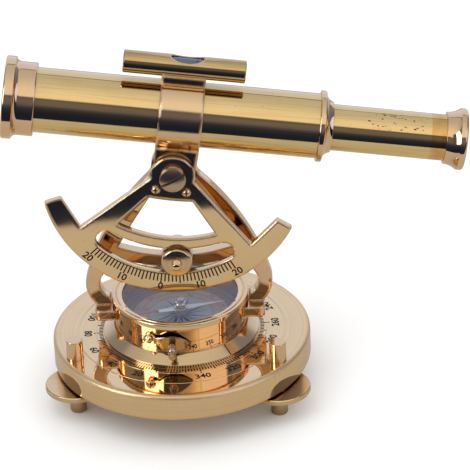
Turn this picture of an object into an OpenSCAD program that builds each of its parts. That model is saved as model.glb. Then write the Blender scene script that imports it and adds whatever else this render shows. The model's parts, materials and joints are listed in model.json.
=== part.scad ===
// Telescopic alidade in brass: a sighting telescope on a tilting arc plate, carried by a yoke
// over a compass that turns on a levelled, graduated base.
// Millimetres. The base's axis is Z, the floor is Z = 0, the telescope points along -X and
// the graduated face of the arc plate looks along -Y.

/* [Base] */
// Radius of the base disc
base_r = 50; // [46:0.5:56]
// Thickness of the base disc
base_t = 10.5; // [8:0.5:14]
// Height of the underside of the base above the floor
base_lift = 13; // [11:0.5:18]
// Radius that rounds the top edge of the base
base_edge_r = 1.4; // [0.5:0.1:2]
// Distance of the recess under the base from its edge
recess_inset = 14; // [13:0.5:26]
// Depth of the recess turned under the base
recess_d = 5.5; // [3:0.5:6]

/* [Levelling screws] */
// Distance of the levelling screws' centres from the edge of the base
screw_inset = 5; // [4.5:0.25:6]
// Angle of the front left screw from the front, anticlockwise seen from above
first_screw_turn = -64; // [-75:1:-50]
// Radius of a levelling screw
screw_r = 3.2; // [2.5:0.1:3.6]
// Height of a levelling screw above the base
screw_rise = 8; // [5:0.5:12]
// Height of the rounded tip that a levelling screw stands on
screw_tip = 0.4; // [0.2:0.1:0.5]
// Radius of a thumb wheel
wheel_r = 12.2; // [9:0.1:13]
// Thickness of a thumb wheel
wheel_t = 2.2; // [1.6:0.1:3]
// Gap between a thumb wheel and the base above it
wheel_gap = 0.8; // [0.6:0.1:1.5]

/* [Turning joint of the compass] */
// Radius of the centre bolt's shank
bolt_r = 3; // [2.5:0.1:4]
// Running clearance round the centre bolt
bolt_clearance = 0.05; // [0.03:0.01:0.08]
// Radius of the boss round the centre bolt
boss_r = 9; // [7:0.5:12]
// Length by which the boss stands below the recess floor
boss_drop = 2; // [1:0.25:2]
// Thickness of the washer under the boss
washer_t = 0.8; // [0.5:0.1:1]
// Radius of the washer under the boss
washer_r = 6.8; // [6.5:0.1:8]
// Width across the flats of the bolt head
bolt_flats = 10; // [8:0.5:11]
// Height of the bolt head
bolt_head_h = 2.4; // [2:0.1:2.6]

/* [Index ring] */
// Distance by which the index ring stands out beyond the compass box
index_out = 4.6; // [3.4:0.1:7]
// Height of the upright edge of the index ring
index_edge = 1.5; // [1:0.1:2]
// Height of the index ring where it meets the compass box
index_h = 4.3; // [3.5:0.1:5]
// Thickness of the index ring under the compass box
index_floor = 2; // [1.5:0.1:2.5]

/* [Compass box] */
// Outer radius of the compass box
box_r = 25.6; // [24:0.1:27]
// Thickness of the wall round the dial
box_wall = 2; // [1.6:0.1:2.4]
// Thickness of the floor of the box
box_floor = 1.8; // [1.4:0.1:2.2]
// Height of the box from its underside to the bezel
box_h = 12.5; // [11.5:0.25:14]
// Height of the dial above the floor of the box
dial_lift = 1.6; // [1:0.1:2]
// Thickness of the dial
dial_t = 0.6; // [0.4:0.1:0.8]
// Width of the ledge that the dial lies on
dial_ledge = 1.6; // [1:0.1:2]
// Thickness of the glass
glass_t = 1.2; // [0.8:0.1:1.4]
// Width of the box's rim inside the bezel
rim_w = 1.0; // [0.8:0.1:1.2]
// Overhang of the bezel beyond the compass box
bezel_over = 0.75; // [0.4:0.05:1.2]
// Height of the bezel
bezel_h = 2.3; // [2:0.1:2.6]
// Width of the bezel's face
bezel_w = 3.85; // [3.4:0.05:4.6]

/* [Needle] */
// Half of the needle's length
needle_r = 17.6; // [14:0.2:19]
// Width of the needle at its middle
needle_w = 3.6; // [2.4:0.1:4.5]
// Thickness of the needle
needle_t = 0.4; // [0.3:0.05:0.6]
// Angle of the needle from the telescope's line, at rest
needle_turn = 15; // [0:1:90]
// Radius of the cap in the middle of the needle
cap_r = 2.8; // [2:0.1:3.2]
// Height of the cap
cap_h = 3.6; // [2.8:0.1:3.8]
// Radius of the pin that the needle turns on
pin_r = 0.8; // [0.6:0.05:1]
// Height of the pin's tip above the dial
pin_rise = 4.2; // [3.8:0.1:4.6]

/* [Needle lock] */
// Angle of the lock screw from the front, anticlockwise seen from above
lock_turn = -26; // [-32:1:-20]
// Height of the lock screw above the base
lock_rise = 10.2; // [9.6:0.1:10.8]
// Thickness of the lock leaf
lock_t = 0.9; // [0.6:0.1:1.2]
// Gap between the lock leaf and the compass box
lock_gap = 0.3; // [0.25:0.05:0.4]
// Length of the leaf from its screw to its tip
lock_len = 15.5; // [13:0.5:17]
// Radius of the leaf's broad part
lock_broad_r = 3.8; // [3:0.1:4.2]
// Radius of the leaf's eye
lock_eye_r = 2.3; // [2:0.1:2.6]
// Radius of the lock screw's head
lock_head_r = 1.9; // [1.6:0.1:2.1]
// Length of the grip on the leaf
grip_len = 6.4; // [4:0.2:8]
// Radius of the beads on the grip
grip_r = 1.6; // [1.2:0.1:1.9]

/* [Yoke] */
// Height of the tilting axis above the base
pivot_rise = 71.9; // [71:0.1:74]
// Thickness of the yoke, front to back
yoke_t = 4.4; // [3.6:0.1:5]
// Radius of the yoke's eye round the tilting axis
yoke_eye_r = 8.4; // [7.5:0.1:8.6]
// Radius of the arc that bends each leg
leg_arc_r = 102; // [88:1:120]
// Height above the tilting axis at which the two legs' outer arcs would meet
leg_top_rise = 5.2; // [4:0.1:6]
// Distance of a leg's outer edge beyond the compass box, where the hip begins
leg_out = 9.8; // [9:0.1:10.6]
// Width of a leg at its hip
leg_w = 5.5; // [4.5:0.1:6.5]
// Width of a leg beside the tilting axis, measured down the middle
leg_top_w = 4.4; // [3:0.1:6]
// Radius of the arc of each leg's inner edge
leg_in_r = 300; // [200:10:400]
// Radius of the bend at each hip
hip_r = 12.5; // [11.5:0.1:13]
// Height above the base where the hip's bend begins
hip_rise = 25.5; // [25:0.5:26.5]
// Radius of the upper edge of the cross strap
strap_arc_r = 62; // [56:1:70]
// Height of the cross strap's upper edge above the base, at its middle
strap_rise = 33.7; // [33:0.1:35]
// Height of the cross strap at its middle
strap_w = 4.7; // [4:0.1:5.5]
// Radius of the lug that holds the clamp stud
lug_r = 4.2; // [3.4:0.1:4.4]
// Height of a foot's upper face above the base
foot_rise = 12.9; // [12:0.1:13.4]
// Thickness of a foot
foot_t = 4; // [3:0.1:4.5]
// Length of a foot from the compass box to its outer end
foot_len = 7.2; // [6.4:0.1:8.4]
// Width of a foot, front to back
foot_w = 16; // [12:0.5:18]
// Gap between the yoke and the bezel that it stands astride
bezel_gap = 0.3; // [0.2:0.05:0.5]
// Radius of a foot's outer corners
foot_corner_r = 2.4; // [1:0.2:3.5]

/* [Tilting joint and clamp] */
// Gap between the faces that turn on each other
face_gap = 0.1; // [0.05:0.05:0.2]
// Radius of the pivot screw's shank
pivot_r = 2.5; // [2:0.1:3]
// Running clearance round the pivot screw
pivot_clearance = 0.05; // [0.03:0.01:0.08]
// Radius of the pivot screw's head
pivot_head_r = 5; // [4.5:0.1:5.4]
// Height of the pivot screw's head
pivot_head_h = 3.4; // [2.4:0.1:4]
// Width of the slot in the pivot screw's head
pivot_slot_w = 1; // [0.6:0.1:1.4]
// Turn of that slot from level
pivot_slot_turn = 28; // [-90:1:90]
// Width across the flats of the nut behind the yoke
pivot_nut_flats = 9; // [8:0.5:10]
// Thickness of the nut behind the yoke
pivot_nut_t = 3; // [2.4:0.1:4]
// Distance of the clamp stud from the tilting axis
clamp_drop = 35.6; // [35.2:0.1:36]
// Radius of the clamp stud
stud_r = 1.8; // [1.4:0.1:2]
// Length of the clamp stud in front of its nut
stud_out = 3; // [1.5:0.25:4]
// Radius of the clamp nut and of the collar behind the arc plate
nut_r = 5.9; // [5.6:0.1:6.5]
// Thickness of the clamp nut
nut_t = 2.8; // [2:0.1:3.6]

/* [Arc plate] */
// Tilt of the telescope at rest, eyepiece down
tube_tilt = 7.8; // [0:0.2:15]
// Angle by which the arc plate was set back from square with the tube
plate_offset = 0.5; // [-2:0.1:2]
// Thickness of the arc plate
plate_t = 2.6; // [2:0.1:3.2]
// Outer radius of the arc plate
plate_r = 49.6; // [48.8:0.1:50]
// Radius of the arc plate's eye
plate_eye_r = 8.4; // [7.8:0.1:9]
// Half of the angle between the tips of the arc plate
tip_angle = 70.7; // [68:0.1:73]
// Radius of the inner corner of each tip
tip_in_r = 43.2; // [42.4:0.1:44]
// Half of the angle between those inner corners
tip_in_angle = 71.6; // [70:0.1:73.5]
// Radius of the notch behind each tip
notch_r = 41.3; // [40.8:0.1:42]
// Half of the angle between the notches
notch_angle = 52; // [50:0.1:54]
// Height above the tilting axis at which the arms' upper edges would leave the eye
arm_side_z = -1.6; // [-2.4:0.1:0]
// Outer radius of the slot for the clamp
slot_r = 41; // [40.6:0.1:41.4]
// Radius of the upper edge of the slot
slot_top_r = 48; // [46:0.5:50]
// Distance of that upper edge from the tilting axis, at its middle
slot_top_drop = 30.6; // [30:0.1:31.2]
// Half of the angle between the slot's round ends
slot_end_angle = 37.3; // [35:0.1:39]
// Radius of the slot's round ends
slot_end_r = 3.9; // [3.6:0.1:4]
// Distance of the window's lower edge from the tilting axis, at its middle
window_drop = 26.2; // [24.6:0.1:26.8]
// Radius of the window's lower edge
window_arc_r = 48; // [44:1:52]
// Radius at which the window's upper corners lie
window_top_r = 12.6; // [12:0.1:13.2]
// Half of the angle between the window's upper corners
window_top_angle = 41.7; // [40:0.1:43]
// Half of the angle between the window's lower corners
window_low_angle = 39.9; // [38:0.1:41.5]
// Distance of the window's upper edge from the tilting axis, at its middle
window_top_drop = 9.8; // [9.7:0.1:10.4]
// Radius of the circle of the two small screws
plate_screw_ring_r = 8.1; // [7.6:0.1:8.3]
// Half of the angle between the two small screws
plate_screw_angle = 45.5; // [43:0.5:48]
// Radius of the small screws' heads
plate_head_r = 1.7; // [1.4:0.1:1.8]
// Radius of the small screws' shanks
plate_shank_r = 0.9; // [0.7:0.1:1]

/* [Saddle and level] */
// Distance of the telescope's axis from the tilting axis
tube_rise = 22; // [21.9:0.1:24]
// Distance of the saddle's middle from the tilting axis, along the tube
saddle_shift = 0.6; // [0:0.1:2]
// Length of the saddle's band along the tube
saddle_len = 16.4; // [15:0.2:19]
// Thickness of the saddle's band
band_t = 1; // [0.8:0.1:1.2]
// Thickness of the neck, front to back
neck_t = 5.5; // [5:0.1:6]
// Half of the neck's width beside the tilting axis
neck_half_w = 8.2; // [7.8:0.1:8.4]
// Depth of the neck's foot below the tilting axis
neck_foot = 8.6; // [8:0.1:9]
// Length of the bevels at the foot's corners
neck_bevel = 2; // [1:0.1:2.4]
// Radius of the fillet between neck and band, in front
neck_fillet_r = 2.5; // [1.5:0.1:3]
// Distance of the level's axis above the telescope's axis
level_rise = 19.4; // [18.8:0.1:21]
// Outer radius of the level's tube
level_r = 4.25; // [3.8:0.05:4.6]
// Wall of the level's tube
level_wall = 0.6; // [0.4:0.05:0.8]
// Length of the level
level_len = 45.6; // [38:0.2:52]
// Length of the window in the level's tube
level_window = 13.9; // [10:0.1:16]
// Distance of the level's middle from the tilting axis, along the tube
level_shift = 0.4; // [-1:0.1:2]
// Distance of the window's middle from the level's middle, along the tube
window_shift = 1; // [-1:0.1:2]
// Radius of the glass vial
vial_r = 3.2; // [2.8:0.05:3.2]
// Thickness of the level's end plugs
plug_t = 2.4; // [1.6:0.1:3]
// Width of the bracket between band and level
bracket_w = 7; // [5:0.2:8]

/* [Telescope] */
// Outer radius of the main tube
tube_r = 12.2; // [11.6:0.1:12.6]
// Wall of the main tube
tube_wall = 0.9; // [0.7:0.1:1.1]
// Distance of the objective's face from the tilting axis
face_x = 65.4; // [62:0.2:72]
// Length of the objective cell
cell_len = 11.9; // [11:0.1:14]
// Outer radius of the objective cell
cell_r = 13.8; // [13.4:0.1:14.2]
// Radius of the rim of the objective cell
rim_r = 15.5; // [15:0.1:16.2]
// Width of that rim
rim_len = 3.7; // [3:0.1:5]
// Length of the cove between rim and cell
cove_len = 2.2; // [1.6:0.1:2.6]
// Radius of the opening in front of the objective lens
aperture_r = 11.4; // [10.5:0.1:11.6]
// Thickness of the objective lens at its edge
objective_edge = 1.6; // [1.2:0.1:2]
// Bulge of each face of the objective lens
objective_bulge = 0.9; // [0.6:0.1:1]
// Length of the main tube between cell and collar
tube_len = 105.8; // [95:0.2:115]
// Radius of the collar's ring at the end of the main tube
collar_r = 13.4; // [12.9:0.1:14]
// Width of the collar's ring
collar_ring = 2.2; // [1.6:0.1:3]
// Length of the collar from its ring to its end
collar_cone = 2.9; // [2.4:0.1:4]
// Radius of the collar's end
collar_end_r = 9.5; // [9.3:0.1:10]
// Length of the collar inside the main tube
collar_in = 8; // [5:0.25:10]
// Outer radius of the draw tube
draw_r = 8.7; // [8.3:0.1:8.9]
// Wall of the draw tube
draw_wall = 0.8; // [0.6:0.1:1]
// Length of the draw tube that shows at rest
draw_out = 42.6; // [20:0.2:46]
// Length of the draw tube inside the main tube at rest
draw_in = 38; // [30:0.5:44]
// Length of the guide ring at the inner end of the draw tube
guide_len = 6; // [4:0.25:8]
// Running clearance of the sliding tubes
slide_clearance = 0.05; // [0.03:0.01:0.08]

/* [Eyepiece] */
// Length of the eyepiece cup
cup_len = 7.7; // [6.6:0.1:9]
// Radius of the cup where it meets the draw tube
cup_start_r = 9.8; // [9.5:0.1:10.2]
// Radius of the cup's lip
cup_lip_r = 11.6; // [11:0.1:12.4]
// Width of the cup's lip
cup_lip_w = 2.6; // [2:0.1:3.2]
// Length of the draw tube inside the cup
cup_grip = 2.4; // [2:0.1:3]
// Radius of the eye hole
eye_hole_r = 5.6; // [4:0.1:6.5]
// Thickness of the wall round the eye hole
eye_wall = 1; // [0.8:0.1:1.4]
// Thickness of the eye lens at its edge
eye_lens_edge = 1.4; // [1:0.1:2]
// Bulge of each face of the eye lens
eye_lens_bulge = 0.6; // [0.4:0.1:0.8]

/* [Hidden] */
$fn = 96;
fine = 960;
over = 1;

screw_ring_r = base_r - screw_inset;
recess_r = base_r - recess_inset;
screw_turns = [first_screw_turn, first_screw_turn + 120, first_screw_turn + 240];
base_top = base_lift + base_t;
recess_z = base_lift + recess_d;
boss_z = recess_z - boss_drop;
box_z = base_top + index_floor;
index_top = base_top + index_h;
box_in_r = box_r - box_wall;
index_r = box_r + index_out;
bezel_z = box_z + box_h;
dial_z = box_z + box_floor + dial_lift;
pin_tip_z = dial_z + dial_t + pin_rise;
rim_out_r = box_r - rim_w;
bezel_r = box_r + bezel_over;
bezel_open_r = bezel_r - bezel_w;
glass_seat = 0.4;
glass_z = bezel_z + glass_seat;
lock_z = base_top + lock_rise;
lock_in_r = box_r + lock_gap;

pivot_z = base_top + pivot_rise;
foot_z = base_top + foot_rise;
foot_reach = box_r + foot_len;
hip_z = base_top + hip_rise;
leg_top = [0, pivot_z + leg_top_rise];
leg_end = [box_r + leg_out, hip_z];
leg_c = arc_centre(leg_top, leg_end, leg_arc_r);
leg_in_c = arc_centre(leg_top - [0, leg_top_w], leg_end + leg_w * (leg_c - leg_end) / leg_arc_r, leg_in_r);
hip_c = leg_end + hip_r * (leg_c - leg_end) / leg_arc_r;
strap_arc_z = base_top + strap_rise + strap_arc_r;
clamp_z = pivot_z - clamp_drop;
plate_grip = 3;
slot_end_inset = 0.06;

yoke_front = -yoke_t / 2;
neck_back = yoke_front - face_gap;
neck_front = neck_back - neck_t;
plate_front = neck_front - plate_t;
head_back = plate_front - face_gap;

band_r = tube_r + band_t;
tube_in_r = tube_r - tube_wall;
draw_in_r = draw_r - draw_wall;
cell_end_x = cell_len - face_x;
collar_x = cell_end_x + tube_len;
collar_end_x = collar_x + collar_ring + collar_cone;
cup_x = collar_end_x + draw_out;
cup_end_x = cup_x + cup_len;
lens_seat_x = -face_x + cell_len / 2;
seat_wall = 1.2;
lens_margin = 0.9;
seat_r = aperture_r - 1.2;

// Point at a radius and an angle, measured from straight down towards +X
function at(r, a) = [r * sin(a), -r * cos(a)];
// Radius of the circle through the ends and the middle of an arc of half chord c and rise h
function sagitta_r(c, h) = (c * c + h * h) / (2 * h);
// Centre of the circle of radius r through a and b, on the right of a to b
function arc_centre(a, b, r) =
  let (u = (b - a) / norm(b - a), h = norm(b - a) / 2)
  (a + b) / 2 + sqrt(r * r - h * h) * [u[1], -u[0]];
// Centre of a circle of radius r that touches two others from outside, on the right of a to b
function touching(a, ra, b, rb, r) =
  let (d = norm(b - a), u = (b - a) / d, p = ra + r, q = rb + r, s = (p * p - q * q + d * d) / (2 * d),
    t = sqrt(max(p * p - s * s, 0)))
  a + s * u + t * [u[1], -u[0]];

// What rounds an outer corner at [x, y] of a profile; sx and sy point out of the material
module corner(x, y, r, sx, sy) {
  translate([x - sx * r, y - sy * r]) mirror([sx < 0 ? 1 : 0, 0]) mirror([0, sy < 0 ? 1 : 0])
    difference() {
      square(r + over);
      circle(r);
    }
}

// A plate drawn in X and Z, from y_front backwards
module upright(y_front, t) {
  translate([0, y_front + t, 0]) rotate([90, 0, 0]) linear_extrude(t) children();
}

// A round bar along Y, from y_front backwards
module bar_y(r, y_front, length) {
  translate([0, y_front + length, 0]) rotate([90, 0, 0]) cylinder(r = r, h = length);
}

// The frame of the telescope: origin on the tilting axis, X along the tube
module scope() {
  translate([0, 0, pivot_z]) rotate([0, tube_tilt, 0]) children();
}

// The frame of the arc plate, set off by a small angle from the telescope
module arc() {
  scope() rotate([0, plate_offset, 0]) children();
}

// A shape turned about the tube's axis, drawn as [distance along the tube, radius]
module turned_x(rise = tube_rise) {
  translate([0, 0, rise]) rotate([0, 90, 0]) rotate_extrude() rotate(90) mirror([0, 1]) children();
}

module levelling_places(i) {
  rotate(screw_turns[i]) translate([0, -screw_ring_r, 0]) children();
}

// Turned disc with a rounded top edge, a recess below and bored holes
module base_plate() {
  color("#c9a36a") difference() {
    rotate_extrude() difference() {
      translate([0, base_lift]) square([base_r, base_t]);
      corner(base_r, base_top, base_edge_r, 1, 1);
      corner(base_r, base_lift, base_edge_r / 2, 1, -1);
      translate([boss_r, base_lift - over]) square([recess_r - boss_r, recess_d + over]);
      translate([0, base_lift - over]) square([boss_r + over, recess_d - boss_drop + over]);
    }
    translate([0, 0, boss_z - over]) cylinder(r = bolt_r + bolt_clearance, h = base_t + 2 * over);
    for (i = [0:2]) levelling_places(i)
      translate([0, 0, base_lift - over]) cylinder(r = screw_r + slide_clearance, h = base_t + 2 * over);
  }
}

// Plain round screw with a flat top and a rounded tip on the floor
module levelling_screw(i) {
  color("#c08a4a") levelling_places(i) rotate_extrude() difference() {
    square([screw_r, base_top + screw_rise]);
    corner(screw_r, 0, screw_tip, 1, -1);
    corner(screw_r, base_top + screw_rise, 0.3, 1, 1);
  }
}

// Thin flat disc, bored for its screw
module thumb_wheel(i) {
  color("#c9a36a") levelling_places(i) translate([0, 0, base_lift - wheel_gap - wheel_t]) difference() {
    cylinder(r = wheel_r, h = wheel_t);
    translate([0, 0, -over]) cylinder(r = screw_r + slide_clearance, h = wheel_t + 2 * over);
  }
}

module levelling_screw_front_left() { levelling_screw(0); }
module levelling_screw_front_right() { levelling_screw(1); }
module levelling_screw_rear() { levelling_screw(2); }
module thumb_wheel_front_left() { thumb_wheel(0); }
module thumb_wheel_front_right() { thumb_wheel(1); }
module thumb_wheel_rear() { thumb_wheel(2); }

// Flat washer between the boss and the bolt head
module bolt_washer() {
  color("#b5985c") translate([0, 0, boss_z - washer_t]) difference() {
    cylinder(r = washer_r, h = washer_t);
    translate([0, 0, -over]) cylinder(r = bolt_r + bolt_clearance, h = washer_t + 2 * over);
  }
}

// Bolt on which the compass turns, screwed up into the index ring
module centre_bolt() {
  head_top = boss_z - washer_t;
  color("#b08d57") {
    translate([0, 0, head_top - bolt_head_h]) cylinder(r = bolt_flats / sqrt(3), h = bolt_head_h, $fn = 6);
    translate([0, 0, head_top]) cylinder(r = bolt_r, h = box_z - head_top);
  }
}

// Bevelled ring that carries the index line and seats the compass box
module index_ring() {
  color("#d9cbaa") rotate_extrude() difference() {
    polygon([[bolt_r, base_top], [index_r, base_top], [index_r, base_top + index_edge],
      [box_r + 0.5, index_top], [bolt_r, index_top]]);
    translate([0, box_z]) square([box_r, index_h]);
  }
}

// Turned box with a ledge for the dial and a rim for the bezel
module compass_box() {
  color("#c79a55") difference() {
    rotate_extrude() difference() {
      union() {
        translate([0, box_z]) square([box_r, box_h]);
        translate([0, box_z]) square([rim_out_r, box_h + glass_seat]);
      }
      translate([0, dial_z]) square([box_in_r, box_h + over]);
      translate([0, box_z + box_floor]) square([box_in_r - dial_ledge, box_h]);
    }
    translate([0, 0, box_z - over]) cylinder(r = pin_r, h = box_floor + 2 * over);
    rotate(lock_turn) translate([0, -box_r - over, lock_z]) rotate([-90, 0, 0])
      cylinder(r = 0.9, h = box_wall + 2 * over);
  }
}

// Printed disc under the needle
module compass_dial() {
  color("#7f93b8") translate([0, 0, dial_z]) difference() {
    cylinder(r = box_in_r - 0.1, h = dial_t);
    translate([0, 0, -over]) cylinder(r = pin_r + 0.4, h = dial_t + 2 * over);
  }
}

// Pointed pin that stands in the floor of the box
module needle_pin() {
  point = 1;
  color("#b08d57") rotate_extrude()
    polygon([[0, box_z], [pin_r, box_z], [pin_r, pin_tip_z - point], [0.1, pin_tip_z], [0, pin_tip_z]]);
}

// Lance-shaped needle, pierced for its cap
module needle() {
  color("#d8d8d8") translate([0, 0, pin_tip_z - cap_h / 2]) rotate(needle_turn) difference() {
    linear_extrude(needle_t) polygon([[-needle_r, 0], [0, -needle_w / 2], [needle_r, 0], [0, needle_w / 2]]);
    translate([0, 0, -over]) cylinder(r = cap_r - 1.2, h = needle_t + 2 * over);
  }
}

// Turned cap, hollow below, whose top rests on the pin
module needle_cap() {
  cup_z = pin_tip_z - cap_h / 2;
  waist_r = cap_r - 1.2;
  color("#c08a4a") rotate_extrude() difference() {
    union() {
      translate([0, cup_z + needle_t]) square([cap_r, cap_h / 2 - needle_t + 1.2]);
      translate([0, cup_z - 0.8]) square([waist_r, cap_h / 2]);
    }
    corner(cap_r, cup_z + cap_h / 2 + 1.2, 0.8, 1, 1);
    polygon([[0, cup_z - over], [pin_r + 0.3, cup_z - over], [pin_r + 0.3, pin_tip_z - 1],
      [0.15, pin_tip_z + 0.05], [0, pin_tip_z + 0.05]]);
  }
}

// Flat glass over the compass
module compass_glass() {
  color("#dfe9ee", 0.35) translate([0, 0, glass_z]) cylinder(r = rim_out_r, h = glass_t);
}

// Screwed ring that holds the glass, with a groove turned in its face
module compass_bezel() {
  groove_r = 0.35;
  color("#c9a36a") rotate_extrude() difference() {
    polygon([[bezel_open_r, glass_z + glass_t], [rim_out_r, glass_z + glass_t], [rim_out_r, bezel_z],
      [bezel_r, bezel_z], [bezel_r, bezel_z + bezel_h], [bezel_open_r + 0.9, bezel_z + bezel_h],
      [bezel_open_r, glass_z + glass_t + 0.2]]);
    corner(bezel_r, bezel_z + bezel_h, 0.5, 1, 1);
    corner(bezel_r, bezel_z, 0.3, 1, -1);
    translate([rim_out_r + 0.1, bezel_z + bezel_h]) circle(groove_r);
  }
}

// The needle lock's own frame: origin on the box's axis at the lock screw, -Y outwards
module lock_frame() {
  translate([0, 0, lock_z]) rotate(lock_turn) children();
}

// Leaf bent round the box, from an eye at its screw to a pointed tip
module lock_leaf() {
  broad_x = lock_len * 0.6;
  color("#c79a55") lock_frame() difference() {
    intersection() {
      difference() {
        translate([0, 0, -lock_broad_r * 2]) cylinder(r = lock_in_r + lock_t, h = lock_broad_r * 4);
        translate([0, 0, -lock_broad_r * 3]) cylinder(r = lock_in_r, h = lock_broad_r * 6);
      }
      upright(-lock_in_r - lock_t - over, lock_in_r) difference() {
        union() {
          circle(lock_eye_r);
          translate([broad_x, -1.2]) circle(lock_broad_r);
          polygon([[0, -1.3], [broad_x, -1.2 - lock_broad_r * 0.6], [lock_len, -1.8],
            [broad_x + 1, lock_broad_r * 0.55], [0, 1.3]]);
        }
      }
    }
    bar_y(0.95, -lock_in_r - lock_t - over, lock_t + 3 * over);
  }
}

// Round-headed screw that the leaf turns on
module lock_screw() {
  head_y = -lock_in_r - lock_t;
  slot_w = 0.6;
  slot_d = 0.9;
  color("#c08a4a") lock_frame() difference() {
    union() {
      intersection() {
        bar_y(lock_head_r, head_y - lock_head_r, lock_head_r);
        translate([0, head_y + 0.5, 0]) sphere(lock_head_r + 0.3);
      }
      bar_y(0.9, head_y, lock_t + lock_gap + box_wall);
    }
    rotate([0, 35, 0]) translate([-slot_w / 2, head_y - 2 * lock_head_r, -lock_head_r - over])
      cube([slot_w, lock_head_r + slot_d, 2 * (lock_head_r + over)]);
  }
}

// Grip with a row of turned beads, riveted to the leaf
module lock_grip() {
  bead = grip_len / 4;
  foot_y = lock_in_r + lock_t;
  color("#b07a3c") translate([0, 0, lock_z - 1.2]) rotate(lock_turn + 20) rotate([90, 0, 0])
    rotate_extrude() union() {
      translate([0, foot_y]) square([grip_r * 0.65, grip_len - bead / 2]);
      translate([0, foot_y]) square([grip_r, bead * 0.5]);
      for (i = [1:2]) translate([0, foot_y + (i + 0.2) * bead]) square([grip_r, bead * 0.4]);
      intersection() {
        translate([0, foot_y + grip_len - bead]) circle(bead);
        translate([0, foot_y]) square([bead, grip_len + over]);
      }
    }
}

// A pointed arch of two arcs, with the right arc's centre c and radius r
module arch(c, r) {
  intersection() {
    translate(c) circle(r, $fn = fine);
    translate([-c[0], c[1]]) circle(r, $fn = fine);
  }
}

// Front view of the yoke
module yoke_outline() {
  hip_x = hip_c[0];
  big = 2 * leg_arc_r;
  difference() {
    union() {
      intersection() {
        difference() {
          arch(leg_c, leg_arc_r);
          arch(leg_in_c, leg_in_r);
        }
        translate([-big / 2, hip_z]) square([big, big]);
      }
      for (s = [-1, 1]) intersection() {
        difference() {
          translate([s * hip_x, hip_c[1]]) circle(hip_r);
          translate([s * hip_x, hip_c[1]]) circle(hip_r - leg_w);
        }
        translate([s > 0 ? hip_x : -hip_x - hip_r, foot_z - foot_t]) square([hip_r, hip_z - foot_z + foot_t]);
      }
      intersection() {
        difference() {
          translate([0, strap_arc_z]) circle(strap_arc_r + strap_w);
          translate([0, strap_arc_z]) circle(strap_arc_r);
        }
        arch(leg_c, leg_arc_r - leg_w / 2);
        translate([-big / 2, hip_z]) square([big, pivot_z - hip_z]);
      }
      translate([0, pivot_z]) circle(yoke_eye_r);
      hub_fillets();
      translate([0, clamp_z]) circle(lug_r);
      translate([-lug_r, strap_arc_z - strap_arc_r - strap_w / 2]) square([2 * lug_r, clamp_z - strap_arc_z + strap_arc_r + strap_w / 2]);
    }
    translate([0, pivot_z]) circle(pivot_r + pivot_clearance);
    translate([0, clamp_z]) circle(stud_r);
  }
}

// Hollow fillets that run the yoke's eye into its legs
module hub_fillets() {
  r = 5;
  c = touching(leg_c, leg_arc_r, [0, pivot_z], yoke_eye_r, r);
  leg = leg_c + leg_arc_r * (c - leg_c) / (leg_arc_r + r);
  eye = [0, pivot_z] + yoke_eye_r * (c - [0, pivot_z]) / (yoke_eye_r + r);
  for (s = [0, 1]) mirror([s, 0]) difference() {
    polygon([[0, pivot_z], eye, c, leg, [leg[0] - leg_w * 0.6, leg[1] - leg_w * 0.6]]);
    translate(c) circle(r);
  }
}

// Cast yoke: two bent legs, a cross strap with a lug for the clamp, and two feet on the box
module yoke() {
  clear_r = bezel_r + bezel_gap;
  color("#b9895a") {
    upright(yoke_front, yoke_t) difference() {
      yoke_outline();
      translate([-clear_r, foot_z - foot_t]) square([2 * clear_r, bezel_z + bezel_h + bezel_gap - foot_z + foot_t]);
    }
    for (s = [0, 1]) mirror([s, 0, 0]) translate([0, 0, foot_z - foot_t]) difference() {
      linear_extrude(foot_t) difference() {
        translate([0, -foot_w / 2]) square([foot_reach, foot_w]);
        corner(foot_reach, foot_w / 2, foot_corner_r, 1, 1);
        corner(foot_reach, -foot_w / 2, foot_corner_r, 1, -1);
      }
      translate([0, 0, -over]) cylinder(r = box_r, h = foot_t + 2 * over);
    }
  }
}

// Cheese-headed screw that the telescope tilts on
module pivot_screw() {
  slot_d = 1.4;
  color("#b5794a") translate([0, 0, pivot_z]) difference() {
    union() {
      bar_y(pivot_head_r, head_back - pivot_head_h, pivot_head_h);
      bar_y(pivot_r, head_back - over, yoke_t / 2 + pivot_nut_t - head_back + face_gap + 1.2 + over);
    }
    rotate([0, -pivot_slot_turn, 0]) translate([-pivot_head_r - over, head_back - pivot_head_h - over, -pivot_slot_w / 2])
      cube([2 * (pivot_head_r + over), slot_d + over, pivot_slot_w]);
  }
}

// Hexagon nut behind the yoke
module pivot_nut() {
  color("#b08d57") translate([0, yoke_t / 2 + pivot_nut_t, pivot_z]) rotate([90, 0, 0]) difference() {
    cylinder(r = pivot_nut_flats / sqrt(3), h = pivot_nut_t, $fn = 6);
    translate([0, 0, -over]) cylinder(r = pivot_r, h = pivot_nut_t + 2 * over);
  }
}

// Threaded stud that stands in the yoke's lug and passes through the arc plate's slot
module clamp_stud() {
  front = head_back - nut_t - stud_out;
  color("#c08a4a") translate([0, 0, clamp_z]) bar_y(stud_r, front, yoke_t / 2 - front);
}

// Collar on the stud that fills the space behind the arc plate
module clamp_collar() {
  color("#b07a3c") translate([0, 0, clamp_z]) difference() {
    bar_y(nut_r, neck_front + face_gap, yoke_front - neck_front - face_gap);
    bar_y(stud_r, neck_front - over, neck_t + 4 * over);
  }
}

// Round nut that clamps the arc plate
module clamp_nut() {
  color("#c9a36a") translate([0, 0, clamp_z]) difference() {
    bar_y(nut_r, head_back - nut_t, nut_t);
    bar_y(stud_r + 0.05, head_back - nut_t - over, nut_t + 2 * over);
  }
}

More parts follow.
